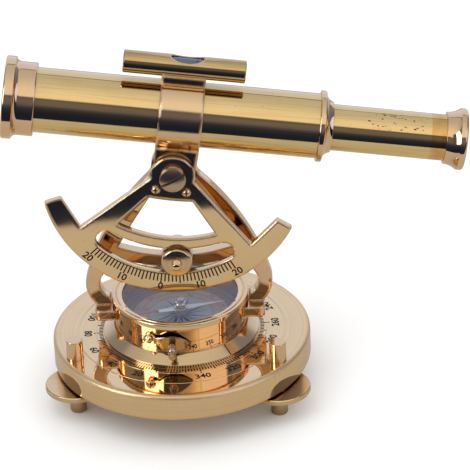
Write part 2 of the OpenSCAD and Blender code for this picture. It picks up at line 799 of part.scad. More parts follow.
// Outline of the arc plate: a sector with straight arms, two notches and two tips
module plate_outline() {
  notch = at(notch_r, notch_angle);
  tip_in = at(tip_in_r, tip_in_angle);
  tip_out = tip_in + 2 * (at(plate_r, tip_angle) - tip_in);
  arm_side = [plate_eye_r, arm_side_z];
  arm_end = arm_side + 2 * (arm_side - notch) / norm(arm_side - notch);
  right = [arm_end, notch, tip_in, tip_out, [2 * plate_r, -2 * plate_r]];
  left = [for (i = [len(right) - 1:-1:0]) [-right[i][0], right[i][1]]];
  circle(plate_eye_r);
  intersection() {
    circle(plate_r);
    polygon(concat(right, left));
  }
}

// Window between the eye and the slot
module plate_window() {
  top = at(window_top_r, window_top_angle);
  low_r = (window_arc_r - window_drop);
  low = [window_low_x(), -(sqrt(window_arc_r * window_arc_r - window_low_x() * window_low_x()) - low_r)];
  top_r = sagitta_r(top[0], window_top_drop + top[1]);
  past = 3 * (low - top) / norm(low - top);
  difference() {
    intersection() {
      polygon([top - past, low + past, [0, -plate_r], [-low[0] - past[0], low[1] + past[1]],
        [past[0] - top[0], top[1] - past[1]]]);
      translate([0, low_r]) circle(window_arc_r);
    }
    translate([0, top_r - window_top_drop]) circle(top_r);
  }
}

// Half width of the window at its lower corners, where its lower arc meets its angle
function window_low_x() =
  let (d = window_arc_r - window_drop, c = cos(window_low_angle),
    r = -d * c + sqrt(d * d * c * c - d * d + window_arc_r * window_arc_r))
  r * sin(window_low_angle);

// Crescent slot that the clamp stud runs in
module plate_slot() {
  big = 2 * plate_r;
  intersection() {
    difference() {
      circle(slot_r);
      translate([0, slot_top_r - slot_top_drop]) circle(slot_top_r);
    }
    polygon([[0, 0], at(big, -slot_end_angle), at(big, 0), at(big, slot_end_angle)]);
  }
  for (s = [-1, 1]) translate(at(slot_r - slot_end_r - slot_end_inset, s * slot_end_angle))
    circle(slot_end_r);
}

// Sector plate with two tips, a window and a crescent slot
module arc_plate() {
  color("#d2b27c") arc() upright(plate_front, plate_t) difference() {
    plate_outline();
    plate_window();
    plate_slot();
    circle(pivot_r + pivot_clearance);
    for (s = [-1, 1]) translate(at(plate_screw_ring_r, s * plate_screw_angle)) circle(plate_shank_r);
  }
}

// Two round-headed screws that hold the arc plate to the neck
module arc_plate_screws() {
  slot_w = 0.5;
  slot_d = 0.7;
  color("#c08a4a") arc() for (s = [-1, 1]) {
    p = at(plate_screw_ring_r, s * plate_screw_angle);
    translate([p[0], 0, p[1]]) difference() {
      union() {
        intersection() {
          translate([0, plate_front + 0.3, 0]) sphere(plate_head_r + 0.15);
          bar_y(plate_head_r, plate_front - plate_head_r - over, plate_head_r + over);
        }
        bar_y(plate_shank_r, plate_front, plate_t + plate_grip);
      }
      translate([-slot_w / 2, plate_front - 3 * plate_head_r, -plate_head_r - over])
        cube([slot_w, 3 * plate_head_r - slot_d, 2 * (plate_head_r + over)]);
    }
  }
}

// Cast saddle: a band round the tube on a neck that hangs down to the tilting axis
module saddle() {
  back_fillet_r = 0.5;
  front_c = [neck_front - neck_fillet_r, sqrt(pow(band_r + neck_fillet_r, 2) - pow(neck_front - neck_fillet_r, 2))];
  back_c = [neck_back + back_fillet_r, sqrt(pow(band_r + back_fillet_r, 2) - pow(neck_back + back_fillet_r, 2))];
  color("#c48f66") scope() difference() {
    union() {
      intersection() {
        translate([saddle_shift - saddle_len / 2, 0, 0]) rotate([90, 0, 90]) linear_extrude(saddle_len) union() {
          translate([0, tube_rise]) circle(band_r);
          difference() {
            polygon([[neck_front, -neck_foot], [neck_front, tube_rise - front_c[1]], [neck_front - neck_fillet_r, tube_rise - front_c[1]],
              [front_c[0] * band_r / (band_r + neck_fillet_r), tube_rise - front_c[1] * band_r / (band_r + neck_fillet_r)],
              [0, tube_rise],
              [back_c[0] * band_r / (band_r + back_fillet_r), tube_rise - back_c[1] * band_r / (band_r + back_fillet_r)],
              [back_c[0], tube_rise - back_c[1]], [neck_back, tube_rise - back_c[1]], [neck_back, -neck_foot]]);
            translate([front_c[0], tube_rise - front_c[1]]) circle(neck_fillet_r);
            translate([back_c[0], tube_rise - back_c[1]]) circle(back_fillet_r);
          }
        }
        upright(-2 * tube_r, 4 * tube_r) polygon([[-neck_half_w, neck_bevel - neck_foot],
          [neck_bevel - neck_half_w, -neck_foot], [neck_half_w - neck_bevel, -neck_foot],
          [neck_half_w, neck_bevel - neck_foot], [neck_half_w, 0],
          [saddle_shift + saddle_len / 2, tube_rise - band_r], [saddle_shift + saddle_len / 2, tube_rise + 2 * band_r],
          [saddle_shift - saddle_len / 2, tube_rise + 2 * band_r], [saddle_shift - saddle_len / 2, tube_rise - band_r],
          [-neck_half_w, 0]]);
      }
    }
    translate([-face_x, 0, tube_rise]) rotate([0, 90, 0]) cylinder(r = tube_r, h = 2 * face_x);
    bar_y(pivot_r + pivot_clearance, neck_front - over, neck_t + 2 * over);
    rotate([0, plate_offset, 0]) for (s = [-1, 1]) {
      p = at(plate_screw_ring_r, s * plate_screw_angle);
      translate([p[0], 0, p[1]]) bar_y(plate_shank_r, neck_front - over, plate_grip + over);
    }
  }
}

// Block between the band and the level
module level_bracket() {
  color("#c48f66") scope() difference() {
    translate([saddle_shift - saddle_len / 2, -bracket_w / 2, tube_rise]) cube([saddle_len, bracket_w, level_rise]);
    translate([-face_x, 0, tube_rise]) rotate([0, 90, 0]) cylinder(r = band_r, h = 2 * face_x);
    translate([-face_x, 0, tube_rise + level_rise]) rotate([0, 90, 0]) cylinder(r = level_r, h = 2 * face_x);
  }
}

// Thin tube of the level with a window cut in its top
module level_tube() {
  color("#c9ac5e") scope() difference() {
    translate([level_shift - level_len / 2, 0, tube_rise + level_rise]) rotate([0, 90, 0]) cylinder(r = level_r, h = level_len);
    translate([-face_x, 0, tube_rise + level_rise]) rotate([0, 90, 0]) cylinder(r = level_r - level_wall, h = 2 * face_x);
    translate([level_shift + window_shift - level_window / 2, -level_r - over, tube_rise + level_rise + level_r * 0.3])
      cube([level_window, 2 * (level_r + over), level_r]);
  }
}

// Glass vial inside the level
module level_vial() {
  length = level_len - 2 * plug_t;
  color("#8e7f9a", 0.6) scope() translate([level_shift - length / 2, 0, tube_rise + level_rise])
    rotate([0, 90, 0]) cylinder(r = vial_r, h = length);
}

// Two plugs that close the level's tube and hold the vial
module level_plugs() {
  color("#c79a55") scope() for (s = [-1, 1])
    translate([level_shift + s * (level_len - plug_t) / 2 - plug_t / 2, 0, tube_rise + level_rise])
      rotate([0, 90, 0]) cylinder(r = level_r - level_wall, h = plug_t);
}

// Main tube between the objective cell and the collar
module main_tube() {
  start = lens_seat_x + seat_wall;
  color("#d4b65c") scope() turned_x() translate([start, tube_in_r]) square([collar_x - start, tube_wall]);
}

// Turned cell with a broad rim and a cove, bored for the tube and the lens
module objective_cell() {
  lens_bore_r = aperture_r + lens_margin;
  color("#c9986c") scope() turned_x() difference() {
    union() {
      translate([-face_x, seat_r]) square([cell_len, cell_r - seat_r]);
      translate([-face_x, seat_r]) square([rim_len + cove_len, rim_r - seat_r]);
    }
    corner(-face_x, rim_r, 0.8, -1, 1);
    corner(cell_end_x, cell_r, 0.5, 1, 1);
    translate([-face_x + rim_len + cove_len, cell_r + cove_len]) circle(cove_len);
    translate([-face_x + rim_len + 0.6, rim_r - 0.1]) square([cove_len + over, over]);
    translate([-face_x - over, 0]) square([lens_seat_x + face_x + over, lens_bore_r]);
    translate([lens_seat_x + seat_wall, 0]) square([cell_len, tube_r]);
    polygon([[-face_x - over, lens_bore_r], [-face_x - over, lens_bore_r + 1.4 + over], [-face_x, lens_bore_r + 1.4],
      [-face_x + 2, lens_bore_r]]);
  }
}

// A lens with a flat rim, from x to x + edge, that bulges inside the radius clear
module lens(x, r, clear, edge, bulge) {
  face_r = sagitta_r(clear, bulge);
  turned_x() {
    translate([x, 0]) square([edge, r]);
    intersection() {
      translate([x - bulge, 0]) square([edge + 2 * bulge, clear]);
      translate([x - bulge + face_r, 0]) circle(face_r, $fn = fine);
      translate([x + edge + bulge - face_r, 0]) circle(face_r, $fn = fine);
    }
  }
}

// Objective lens against its seat in the cell
module objective_lens() {
  color("#cfe0e6", 0.4) scope()
    lens(lens_seat_x - objective_edge, aperture_r + lens_margin, seat_r, objective_edge, objective_bulge);
}

// Ring that holds the objective lens in its cell
module lens_ring() {
  ring_len = 1.4;
  color("#b5985c") scope() turned_x() translate([lens_seat_x - objective_edge - ring_len, aperture_r - 0.4])
    square([ring_len, lens_margin + 0.4]);
}

// Turned collar that closes the main tube and guides the draw tube
module tube_collar() {
  ring_end = collar_x + collar_ring;
  cone_r = collar_r - 1.2;
  cove_d = 0.5;
  cove_r = sagitta_r(norm([collar_cone, cone_r - collar_end_r]) / 2, cove_d);
  a = [ring_end, cone_r];
  b = [collar_end_x, collar_end_r];
  n = [b[1] - a[1], a[0] - b[0]] / norm(b - a);
  color("#c9986c") scope() turned_x() difference() {
    polygon([[collar_x - collar_in, draw_r + slide_clearance], [collar_x - collar_in, tube_in_r],
      [collar_x, tube_in_r], [collar_x, collar_r], [ring_end, collar_r], a, b,
      [collar_end_x, draw_r + slide_clearance]]);
    intersection() {
      translate((a + b) / 2 - n * (cove_r - cove_d)) circle(cove_r);
      translate([ring_end, collar_end_r - over]) square([collar_cone + over, cone_r + over - collar_end_r]);
    }
    corner(ring_end, collar_r, 0.5, 1, 1);
    corner(collar_x, collar_r, 0.4, -1, 1);
  }
}

// Draw tube from its guide ring to the eyepiece cup
module draw_tube() {
  start = collar_end_x - draw_in;
  color("#cdb56b") scope() turned_x() translate([start, draw_in_r]) square([cup_x + cup_grip - start, draw_wall]);
}

// Ring at the inner end of the draw tube that slides in the main tube
module draw_guide() {
  start = collar_end_x - draw_in + 1;
  color("#b5985c") scope() turned_x() translate([start, draw_r]) square([guide_len, tube_in_r - slide_clearance - draw_r]);
}

// Flared cup with a thick rounded lip, dished round the eye hole
module eyepiece_cup() {
  lip_x = cup_end_x - cup_lip_w;
  hole_x = cup_x + cup_grip;
  flare = sagitta_r(norm([lip_x - cup_x, cup_lip_r - cup_start_r]) / 2, 0.45);
  a = [cup_x, cup_start_r];
  b = [lip_x, cup_lip_r];
  n = [a[1] - b[1], b[0] - a[0]] / norm(b - a);
  color("#c9986c") scope() turned_x() difference() {
    polygon([[cup_x, eye_hole_r], a, b, [cup_end_x, cup_lip_r], [cup_end_x, eye_hole_r]]);
    translate((a + b) / 2 + n * (flare - 0.45)) circle(flare);
    corner(cup_end_x, cup_lip_r, 1.1, 1, 1);
    translate([cup_x - over, 0]) square([cup_grip + over, draw_r]);
    polygon([[hole_x + eye_wall, eye_hole_r - over], [hole_x + eye_wall, eye_hole_r], [cup_end_x, cup_lip_r - 1.6],
      [cup_end_x + over, cup_lip_r - 1.6], [cup_end_x + over, eye_hole_r - over]]);
  }
}

// Eye lens against the wall of the cup
module eye_lens() {
  color("#cfe0e6", 0.4) scope()
    lens(cup_x + cup_grip - eye_lens_edge, draw_in_r, eye_hole_r, eye_lens_edge, eye_lens_bulge);
}

// Ring that holds the eye lens in the draw tube
module eye_lens_ring() {
  ring_len = 1.6;
  color("#b5985c") scope() turned_x()
    translate([cup_x + cup_grip - eye_lens_edge - ring_len, eye_hole_r]) square([ring_len, draw_in_r - eye_hole_r]);
}

base_plate();
levelling_screw_front_left();
levelling_screw_front_right();
levelling_screw_rear();
thumb_wheel_front_left();
thumb_wheel_front_right();
thumb_wheel_rear();
bolt_washer();
centre_bolt();
index_ring();
compass_box();
compass_dial();
needle_pin();
needle();
needle_cap();
compass_glass();
compass_bezel();
lock_leaf();
lock_screw();
lock_grip();
yoke();
pivot_screw();
pivot_nut();
clamp_stud();
clamp_collar();
clamp_nut();
arc_plate();
arc_plate_screws();
saddle();
level_bracket();
level_tube();
level_vial();
level_plugs();
main_tube();
objective_cell();
objective_lens();
lens_ring();
tube_collar();
draw_tube();
draw_guide();
eyepiece_cup();
eye_lens();
eye_lens_ring();
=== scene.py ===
"""Dresses a brass telescopic alidade: metal, glass, engraved scales, the compass dial and the stage."""

import json
import math

import bmesh
import bpy
from mathutils import Matrix, Vector


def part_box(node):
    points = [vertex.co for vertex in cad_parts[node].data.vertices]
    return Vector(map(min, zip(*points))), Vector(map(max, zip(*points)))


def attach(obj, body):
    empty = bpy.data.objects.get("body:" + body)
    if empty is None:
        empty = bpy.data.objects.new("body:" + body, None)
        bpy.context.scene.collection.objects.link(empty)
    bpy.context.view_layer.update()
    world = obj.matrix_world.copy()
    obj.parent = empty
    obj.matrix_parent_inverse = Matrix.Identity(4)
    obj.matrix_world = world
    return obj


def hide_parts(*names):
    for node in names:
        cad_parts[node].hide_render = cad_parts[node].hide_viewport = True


bl_info = {
    "name": "Telescopic alidade",
    "version": (1, 0, 0),
    "blender": (4, 5, 0),
    "location": "3D View > Sidebar > Alidade",
    "description": "Finishes, scales and fittings of a brass telescopic alidade",
    "category": "Object",
}

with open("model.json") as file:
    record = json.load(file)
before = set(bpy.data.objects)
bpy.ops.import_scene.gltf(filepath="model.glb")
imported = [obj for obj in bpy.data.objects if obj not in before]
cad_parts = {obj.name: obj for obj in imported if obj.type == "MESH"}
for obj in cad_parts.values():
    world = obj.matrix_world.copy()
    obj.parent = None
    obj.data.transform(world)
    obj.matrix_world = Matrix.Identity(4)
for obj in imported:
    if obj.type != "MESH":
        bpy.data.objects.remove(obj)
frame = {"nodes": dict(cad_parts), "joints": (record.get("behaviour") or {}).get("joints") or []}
nodes = frame["nodes"]
joints = {joint["name"]: joint for joint in frame["joints"]}
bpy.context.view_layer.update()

MM = 0.001
UP = Vector((0, 0, 1))
WHITE = (1, 1, 1, 1)


def turned(degrees, axis="Z"):
    """A turn about an axis through the origin."""
    return Matrix.Rotation(math.radians(degrees), 4, axis)


def moved(x, y, z):
    """A shift along X, Y and Z."""
    return Matrix.Translation((x, y, z))


def facing(point):
    """A frame on the instrument's middle plane whose Z points to the viewer in front."""
    return moved(point.x, 0, point.z) @ turned(90, "X")


# Places read from the frame, in metres
BASE_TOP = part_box("base_plate")[1].z
BASE_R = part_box("base_plate")[1].x
INDEX_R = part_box("index_ring")[1].x
INDEX_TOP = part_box("index_ring")[1].z
BOX_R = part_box("compass_box")[1].x
DIAL_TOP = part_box("compass_dial")[1].z
DIAL_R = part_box("compass_dial")[1].x
PIVOT = Vector(joints["telescope_tilt"]["pos_m"])
CLAMP = Vector(joints["clamp_turn"]["pos_m"])
PLATE_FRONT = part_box("arc_plate")[0].y
SLIDE = Vector(joints["draw_slide"]["axis"])

# Angles about Y, in degrees: the arc plate is screwed on half a degree out of line with the telescope
TUBE_TILT = math.degrees(math.atan2(-SLIDE.z, SLIDE.x))
PLATE_TILT = TUBE_TILT + 0.5

# The telescope's own frame: X along it, towards the eye
scope = Matrix.Translation(PIVOT) @ turned(TUBE_TILT, "Y")
# Looking at the arc plate from the front: X right, Y up, Z out of the plate
arc_face = moved(0, PLATE_FRONT, 0) @ Matrix.Translation(PIVOT) @ turned(PLATE_TILT, "Y") @ turned(90, "X")
clamp_axis = facing(CLAMP)

# Distance from one patch to the next in the finishes' patterns
TARNISH = 12.5 * MM
SPECKS = 1.111 * MM
PITS = 0.7692 * MM
LACQUER = 3.846 * MM
INK = 1.429 * MM
SMEARS = 8.333 * MM
SPIRIT = 3.333 * MM
# Buffing marks are finer than the render shows, so they are drawn as coarse as this
BUFFING = 0.7143 * MM


def linear(hex_value):
    """Linear colour, with full alpha, of an sRGB hex value such as E0B070."""
    parts = [int(hex_value[i:i + 2], 16) / 255 for i in (0, 2, 4)]
    return [c / 12.92 if c <= 0.04045 else ((c + 0.055) / 1.055) ** 2.4 for c in parts] + [1.0]


def colour_setting(name, description, hex_value):
    return bpy.props.FloatVectorProperty(
        name=name, description=description, subtype="COLOR", size=3, default=linear(hex_value)[:3])


def length_setting(name, description, metres):
    return bpy.props.FloatProperty(name=name, description=description, default=metres, unit="LENGTH")


def angle_setting(name, description, degrees):
    return bpy.props.FloatProperty(
        name=name, description=description, default=math.radians(degrees), subtype="ANGLE")


class MetalSettings(bpy.types.PropertyGroup):
    """Colours and polish of the brass"""

    tube: colour_setting("Drawn tube", "Colour of the drawn brass tubes", "F0CE8D")
    casting: colour_setting("Casting", "Colour of the redder cast brass", "EDC797")
    plate: colour_setting("Plate", "Colour of the rolled brass plate and the turned base", "F4CF9A")
    polish: bpy.props.FloatProperty(
        name="Roughness", description="Roughness of freshly polished brass", default=0.05, min=0.02, max=0.5)
    edge: length_setting("Edge", "Radius to which sharp edges are worn", 0.2 * MM)


class ScaleSettings(bpy.types.PropertyGroup):
    """Sizes of the engraved scales"""

    line: length_setting("Line", "Width of an engraved line", 0.52 * MM)
    fill: length_setting("Fill", "Height by which the black filling stands proud", 0.03 * MM)
    base_numeral: length_setting("Base numerals", "Height of the numerals on the base", 3.1 * MM)
    arc_numeral: length_setting("Arc numerals", "Height of the numerals on the arc plate", 3.0 * MM)
    arc_unit: angle_setting("Arc unit", "Angle of one division of the arc plate", 1.87)


class DialSettings(bpy.types.PropertyGroup):
    """Colours of the compass dial"""

    field: colour_setting("Field", "Pale grey of the dial's middle", "A2A4A4")
    ring: colour_setting("Ring", "Tan of the dial's lettered ring", "B3977E")
    rim: colour_setting("Rim", "Brown grey of the dial's rim", "7E6A5D")
    ray: colour_setting("Ray", "Dark blue of the rays", "303F6C")


class StageSettings(bpy.types.PropertyGroup):
    """Light and camera"""

    lens: bpy.props.FloatProperty(
        name="Lens", description="Focal length of the camera in millimetres", default=216.0)
    elevation: angle_setting("Elevation", "Height angle of the camera", 29.37)
    azimuth: angle_setting("Azimuth", "Angle of the camera round the object, from the front", 1.46)
    roll: angle_setting("Roll", "Turn of the camera about its own line", 2.30)
    distance: length_setting("Distance", "Distance of the camera from what it looks at", 1.078)
    key_power: bpy.props.FloatProperty(name="Key", description="Power of the key lamp in watts", default=2.0)


GROUPS = {"metal": MetalSettings, "scales": ScaleSettings, "dial": DialSettings, "stage": StageSettings}


def settings(name):
    return getattr(bpy.context.scene, "alidade_" + name)


def add_node(tree, kind, inputs=None, **options):
    """Adds a node, sets its options, and links or sets its inputs by name or number."""
    made = tree.nodes.new(kind)
    for name, value in options.items():
        setattr(made, name, value)
    for key, value in (inputs or {}).items():
        if isinstance(value, bpy.types.NodeSocket):
            tree.links.new(value, made.inputs[key])
        else:
            made.inputs[key].default_value = value
    return made


def new_material(name):
    """An empty material, its tree and the place on the object."""
    material = bpy.data.materials.new(name)
    material.use_nodes = True
    tree = material.node_tree
    tree.nodes.clear()
    return material, tree, add_node(tree, "ShaderNodeTexCoord").outputs["Object"]


def finish_material(tree, shader):
    add_node(tree, "ShaderNodeOutputMaterial", {"Surface": shader.outputs[0]})


def shade(colour, *factors):
    """A colour times one factor, or times one each for red, green and blue, with full alpha."""
    each = factors * 3 if len(factors) == 1 else factors
    return [min(1.0, c * factor) for c, factor in zip(colour, each)] + [1.0]


def blend(tree, under, over, *shares):
    """Lays one colour over another by the product of one or more shares."""
    share = shares[0]
    for other in shares[1:]:
        share = add_node(tree, "ShaderNodeMath", {0: share, 1: other}, operation="MULTIPLY").outputs[0]
    return add_node(tree, "ShaderNodeMix", {"Factor": share, 6: under, 7: over}, data_type="RGBA").outputs[2]


def patches(tree, place, size, detail, low, high, least=0.0, most=1.0):
    """Share made of patches size apart: least where the noise is under low, most where it is over high."""
    noise = add_node(tree, "ShaderNodeTexNoise", {
        "Vector": place, "Scale": 1 / size, "Detail": detail, "Roughness": 0.5}).outputs["Fac"]
    return add_node(tree, "ShaderNodeMapRange", {
        "Value": noise, "From Min": low, "From Max": high, "To Min": least, "To Max": most}).outputs[0]


def within(tree, value, low, high, soft):
    """Share that is 1 where value lies between low and high, and fades to 0 over soft."""
    rise = add_node(tree, "ShaderNodeMapRange", {
        "Value": value, "From Min": low - soft, "From Max": low}).outputs[0]
    fall = add_node(tree, "ShaderNodeMapRange", {
        "Value": value, "From Min": high + soft, "From Max": high}).outputs[0]
    return add_node(tree, "ShaderNodeMath", {0: rise, 1: fall}, operation="MULTIPLY").outputs[0]


def draw_tube_marks(tree, place, tint):
    """Pitting on the upper front of the draw tube, and the orange lacquer left beside the eyepiece."""
    parts = add_node(tree, "ShaderNodeSeparateXYZ", {0: place})
    # Where the pits lie along the telescope, across it and above its tilting axis
    along = within(tree, parts.outputs[0], 70 * MM, 90 * MM, 3 * MM)
    front = within(tree, parts.outputs[1], -9 * MM, -2 * MM, 0.6 * MM)
    high = within(tree, parts.outputs[2], 27 * MM, 30.4 * MM, 0.5 * MM)
    # The pits are longer than they are wide
    stretched = add_node(tree, "ShaderNodeMapping", {"Vector": place, "Scale": (0.45, 1.0, 1.0)}).outputs[0]
    pits = patches(tree, stretched, PITS, 2.0, 0.63, 0.67)
    beside_eyepiece = within(tree, parts.outputs[0], 94.4 * MM, 110 * MM, 0.3 * MM)
    lacquer = patches(tree, place, LACQUER, 3.0, 0.35, 0.6, 0.3, 0.75)
    tint = blend(tree, tint, linear("DE9F4C"), beside_eyepiece, lacquer)
    return blend(tree, tint, linear("33281C"), pits, along, high, front)


def thumb_marks(tree, place, tint):
    """A painted darker reflection on the needle lock's leaf: its broad half, away from the screw, is darkened
    towards olive brown.
    """
    along = add_node(tree, "ShaderNodeSeparateXYZ", {0: place}).outputs[0]
    painted_dark_half = within(tree, along, 6.5 * MM, 20 * MM, 1.5 * MM)
    return blend(tree, tint, linear("5A482C"), painted_dark_half, 0.6)


def round_axis(tree, place):
    """Distance of a place from the Z axis, and its height."""
    flat = add_node(tree, "ShaderNodeMapping", {"Vector": place, "Scale": (1.0, 1.0, 0.0)}).outputs[0]
    radius = add_node(tree, "ShaderNodeVectorMath", {0: flat}, operation="LENGTH").outputs["Value"]
    return radius, add_node(tree, "ShaderNodeSeparateXYZ", {0: place}).outputs[2]


def hazy_edge(tree, place, rough):
    """Leaves the upper edge of the base less polished than the rest."""
    radius, height = round_axis(tree, place)
    at_rim = within(tree, radius, BASE_R - 1.5 * MM, BASE_R + MM, 0.4 * MM)
    at_top = within(tree, height, BASE_TOP - 1.6 * MM, BASE_TOP + MM, 0.4 * MM)
    hazy = add_node(tree, "ShaderNodeMath", {0: at_rim, 1: at_top}, operation="MULTIPLY").outputs[0]
    return add_node(tree, "ShaderNodeMix", {"Factor": hazy, 2: rough, 3: 0.42}).outputs[0]


def brass(name, colour, roughness, lines=None, line_frame=None, stain=0.25, edge=None, marks_on=None,
          polish_on=None):
    """Polished brass. Lines is "drawn" for marks along X, "turned" for rings about Z, or None.

    Edge is the radius to which its edges are rounded. Marks_on and polish_on are functions that change the
    tint and the roughness by place."""
    material, tree, place = new_material(name)
    if line_frame is not None:
        inverse = line_frame.inverted()
        place = add_node(tree, "ShaderNodeMapping", {
            "Vector": place, "Location": inverse.translation, "Rotation": inverse.to_euler()}).outputs[0]
    clouds = add_node(tree, "ShaderNodeTexNoise", {
        "Vector": place, "Scale": 1 / TARNISH, "Detail": 4.0, "Roughness": 0.55}).outputs["Fac"]
    tarnished = add_node(tree, "ShaderNodeMapRange", {
        "Value": clouds, "From Min": 0.45, "From Max": 0.75, "To Max": stain}).outputs[0]
    specked = patches(tree, place, SPECKS, 2.0, 0.70, 0.80, most=0.5)
    # Painted shade: corners and recesses that ambient occlusion finds closed in are darkened to a duller,
    # greyer brown
    open_sky = add_node(tree, "ShaderNodeAmbientOcclusion", {"Distance": 7 * MM}, samples=4).outputs["AO"]
    corner = add_node(tree, "ShaderNodeMapRange", {
        "Value": open_sky, "From Min": 0.30, "From Max": 0.80, "To Min": 0.65, "To Max": 0.0}).outputs[0]
    dark = shade(colour, 0.42, 0.30, 0.22)
    tint = blend(tree, shade(colour, 1.0), shade(colour, 0.86, 0.74, 0.62), tarnished)
    tint = blend(tree, tint, dark, specked)
    tint = blend(tree, tint, shade(colour, 0.50, 0.50, 0.55), corner)
    rough = add_node(tree, "ShaderNodeMapRange", {
        "Value": clouds, "From Min": 0.3, "From Max": 0.8,
        "To Min": roughness * 0.8, "To Max": roughness * 1.6}).outputs[0]
    if polish_on:
        rough = polish_on(tree, place, rough)
    if lines == "drawn":
        mark_place = add_node(tree, "ShaderNodeMapping", {
            "Vector": place, "Scale": (0.02, 1.0, 1.0)}).outputs[0]
    elif lines == "turned":
        radius, height = round_axis(tree, place)
        mark_place = add_node(tree, "ShaderNodeCombineXYZ", {0: radius, 1: height}).outputs[0]
    else:
        mark_place = place
    marks = add_node(tree, "ShaderNodeTexNoise", {
        "Vector": mark_place, "Scale": 1 / BUFFING, "Detail": 3.0, "Roughness": 0.6}).outputs["Fac"]
    worn = add_node(tree, "ShaderNodeBevel", {"Radius": edge or settings("metal").edge}, samples=6).outputs[0]
    bump = add_node(tree, "ShaderNodeBump", {
        "Strength": 0.06 if lines else 0.02, "Distance": 0.05 * MM, "Height": marks,
        "Normal": worn}).outputs[0]
    if lines:
        streak = add_node(tree, "ShaderNodeMapRange", {
            "Value": marks, "From Min": 0.5, "From Max": 0.8, "To Max": 0.35}).outputs[0]
        tint = blend(tree, tint, dark, streak)
    if marks_on:
        tint = marks_on(tree, place, tint)
    shader = add_node(tree, "ShaderNodeBsdfPrincipled", {
        "Base Color": tint, "Metallic": 1.0, "Roughness": rough, "Normal": bump})
    finish_material(tree, shader)
    return material


def paint(name, colour, roughness, shine=0.5):
    """Paint, ink or filling: a plain coat that varies a little in strength."""
    material, tree, place = new_material(name)
    clouds = add_node(tree, "ShaderNodeTexNoise", {
        "Vector": place, "Scale": 1 / INK, "Detail": 3.0}).outputs["Fac"]
    tint = blend(tree, shade(colour, 0.85), shade(colour, 1.15), clouds)
    rough = add_node(tree, "ShaderNodeMapRange", {
        "Value": clouds, "To Min": roughness * 0.85, "To Max": roughness * 1.15}).outputs[0]
    shader = add_node(tree, "ShaderNodeBsdfPrincipled", {
        "Base Color": tint, "Specular IOR Level": shine, "Roughness": rough})
    finish_material(tree, shader)
    return material


def glass(name, colour, ior, mirrored=WHITE):
    """Clear glass that lets light through to what lies under it."""
    material, tree, place = new_material(name)
    rough = patches(tree, place, SMEARS, 3.0, 0.5, 0.8, 0.01, 0.06)
    clear = add_node(tree, "ShaderNodeBsdfPrincipled", {
        "Base Color": colour, "Roughness": rough, "IOR": ior, "Transmission Weight": 1.0,
        "Specular Tint": mirrored})
    through = add_node(tree, "ShaderNodeBsdfTransparent", {"Color": colour})
    shadow = add_node(tree, "ShaderNodeLightPath").outputs["Is Shadow Ray"]
    shader = add_node(tree, "ShaderNodeMixShader", {0: shadow, 1: clear.outputs[0], 2: through.outputs[0]})
    finish_material(tree, shader)
    return material


def vial_glass(name, colour):
    """Thick glass full of tinted spirit, which scatters part of the light."""
    material, tree, place = new_material(name)
    clouds = add_node(tree, "ShaderNodeTexNoise", {
        "Vector": place, "Scale": 1 / SPIRIT, "Detail": 2.0}).outputs["Fac"]
    shader = add_node(tree, "ShaderNodeBsdfPrincipled", {
        "Base Color": blend(tree, shade(colour, 0.8), colour, clouds), "Roughness": 0.06, "IOR": 1.45,
        "Transmission Weight": 0.35})
    finish_material(tree, shader)
    return material


def cover(node_name, material):
    """Gives a node of the frame its material."""
    slots = nodes[node_name].data.materials
    slots.clear()
    slots.append(material)


def close_seams(bm):
    """Merges doubled points and points every face outwards."""
    bmesh.ops.remove_doubles(bm, verts=bm.verts, dist=1e-7)
    bmesh.ops.recalc_face_normals(bm, faces=bm.faces)


def add_object(name, data):
    made = bpy.data.objects.new(name, data)
    bpy.context.scene.collection.objects.link(made)
    return made


def evaluated_mesh(holder):
    """A new mesh of an object as its modifiers or its text leave it."""
    bpy.context.view_layer.update()
    return bpy.data.meshes.new_from_object(holder.evaluated_get(bpy.context.evaluated_depsgraph_get()))


def make_piece(name, bm, materials, body, replaced=(), smooth=True):
    """Turns a finished bmesh into a piece that rides on a body."""
    close_seams(bm)
    mesh = bpy.data.meshes.new(name)
    bm.to_mesh(mesh)
    bm.free()
    for material in materials:
        mesh.materials.append(material)
    if smooth:
        mesh.shade_smooth()
        mesh.set_sharp_from_angle(angle=math.radians(35))
    piece = add_object(name, mesh)
    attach(piece, body)
    if replaced:
        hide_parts(*replaced)


def spin_profile(bm, profile, steps, place=Matrix(), closed=True):
    """Spins points of (radius, height) about Z, then puts the result in place."""
    start = [bm.verts.new((r, 0, z)) for r, z in profile]
    pairs = zip(start, start[1:] + start[:1]) if closed else zip(start, start[1:])
    edges = [bm.edges.new(pair) for pair in pairs]
    known = set(bm.verts)
    bmesh.ops.spin(
        bm, geom=start + edges, cent=(0, 0, 0), axis=UP, angle=2 * math.pi, steps=steps, use_merge=True)
    verts = start + [v for v in bm.verts if v not in known]
    bmesh.ops.transform(bm, matrix=place, verts=verts)
    return verts


def colour_new(bm, known, material):
    """Gives every face that wasn't known its material."""
    for face in bm.faces:
        if face not in known:
            face.material_index = material


def raise_faces(bm, faces, by):
    """Extrudes faces by a vector, and returns the faces that it raised."""
    raised = bmesh.ops.extrude_face_region(bm, geom=faces)["geom"]
    bmesh.ops.translate(bm, vec=by, verts=[g for g in raised if isinstance(g, bmesh.types.BMVert)])
    return [g for g in raised if isinstance(g, bmesh.types.BMFace)]


def flat_ring(bm, inner, outer, low, high, material):
    """A flat ring about Z."""
    known = set(bm.faces)
    spin_profile(bm, [(inner, low), (outer, low), (outer, high), (inner, high)], 180)
    colour_new(bm, known, material)


def bar(bm, size, place, material=0):
    """A straight bar with its middle at place."""
    known = set(bm.faces)
    bmesh.ops.create_cube(bm, size=1.0, matrix=place @ Matrix.Diagonal((*size, 1.0)))
    colour_new(bm, known, material)


def tick(bm, place, inner, outer, wide, high, material=0):
    """A tick of a round scale, from one radius to another on the -Y side of place."""
    bar(bm, (wide, outer - inner, high), place @ moved(0, -(inner + outer) / 2, 0), material)


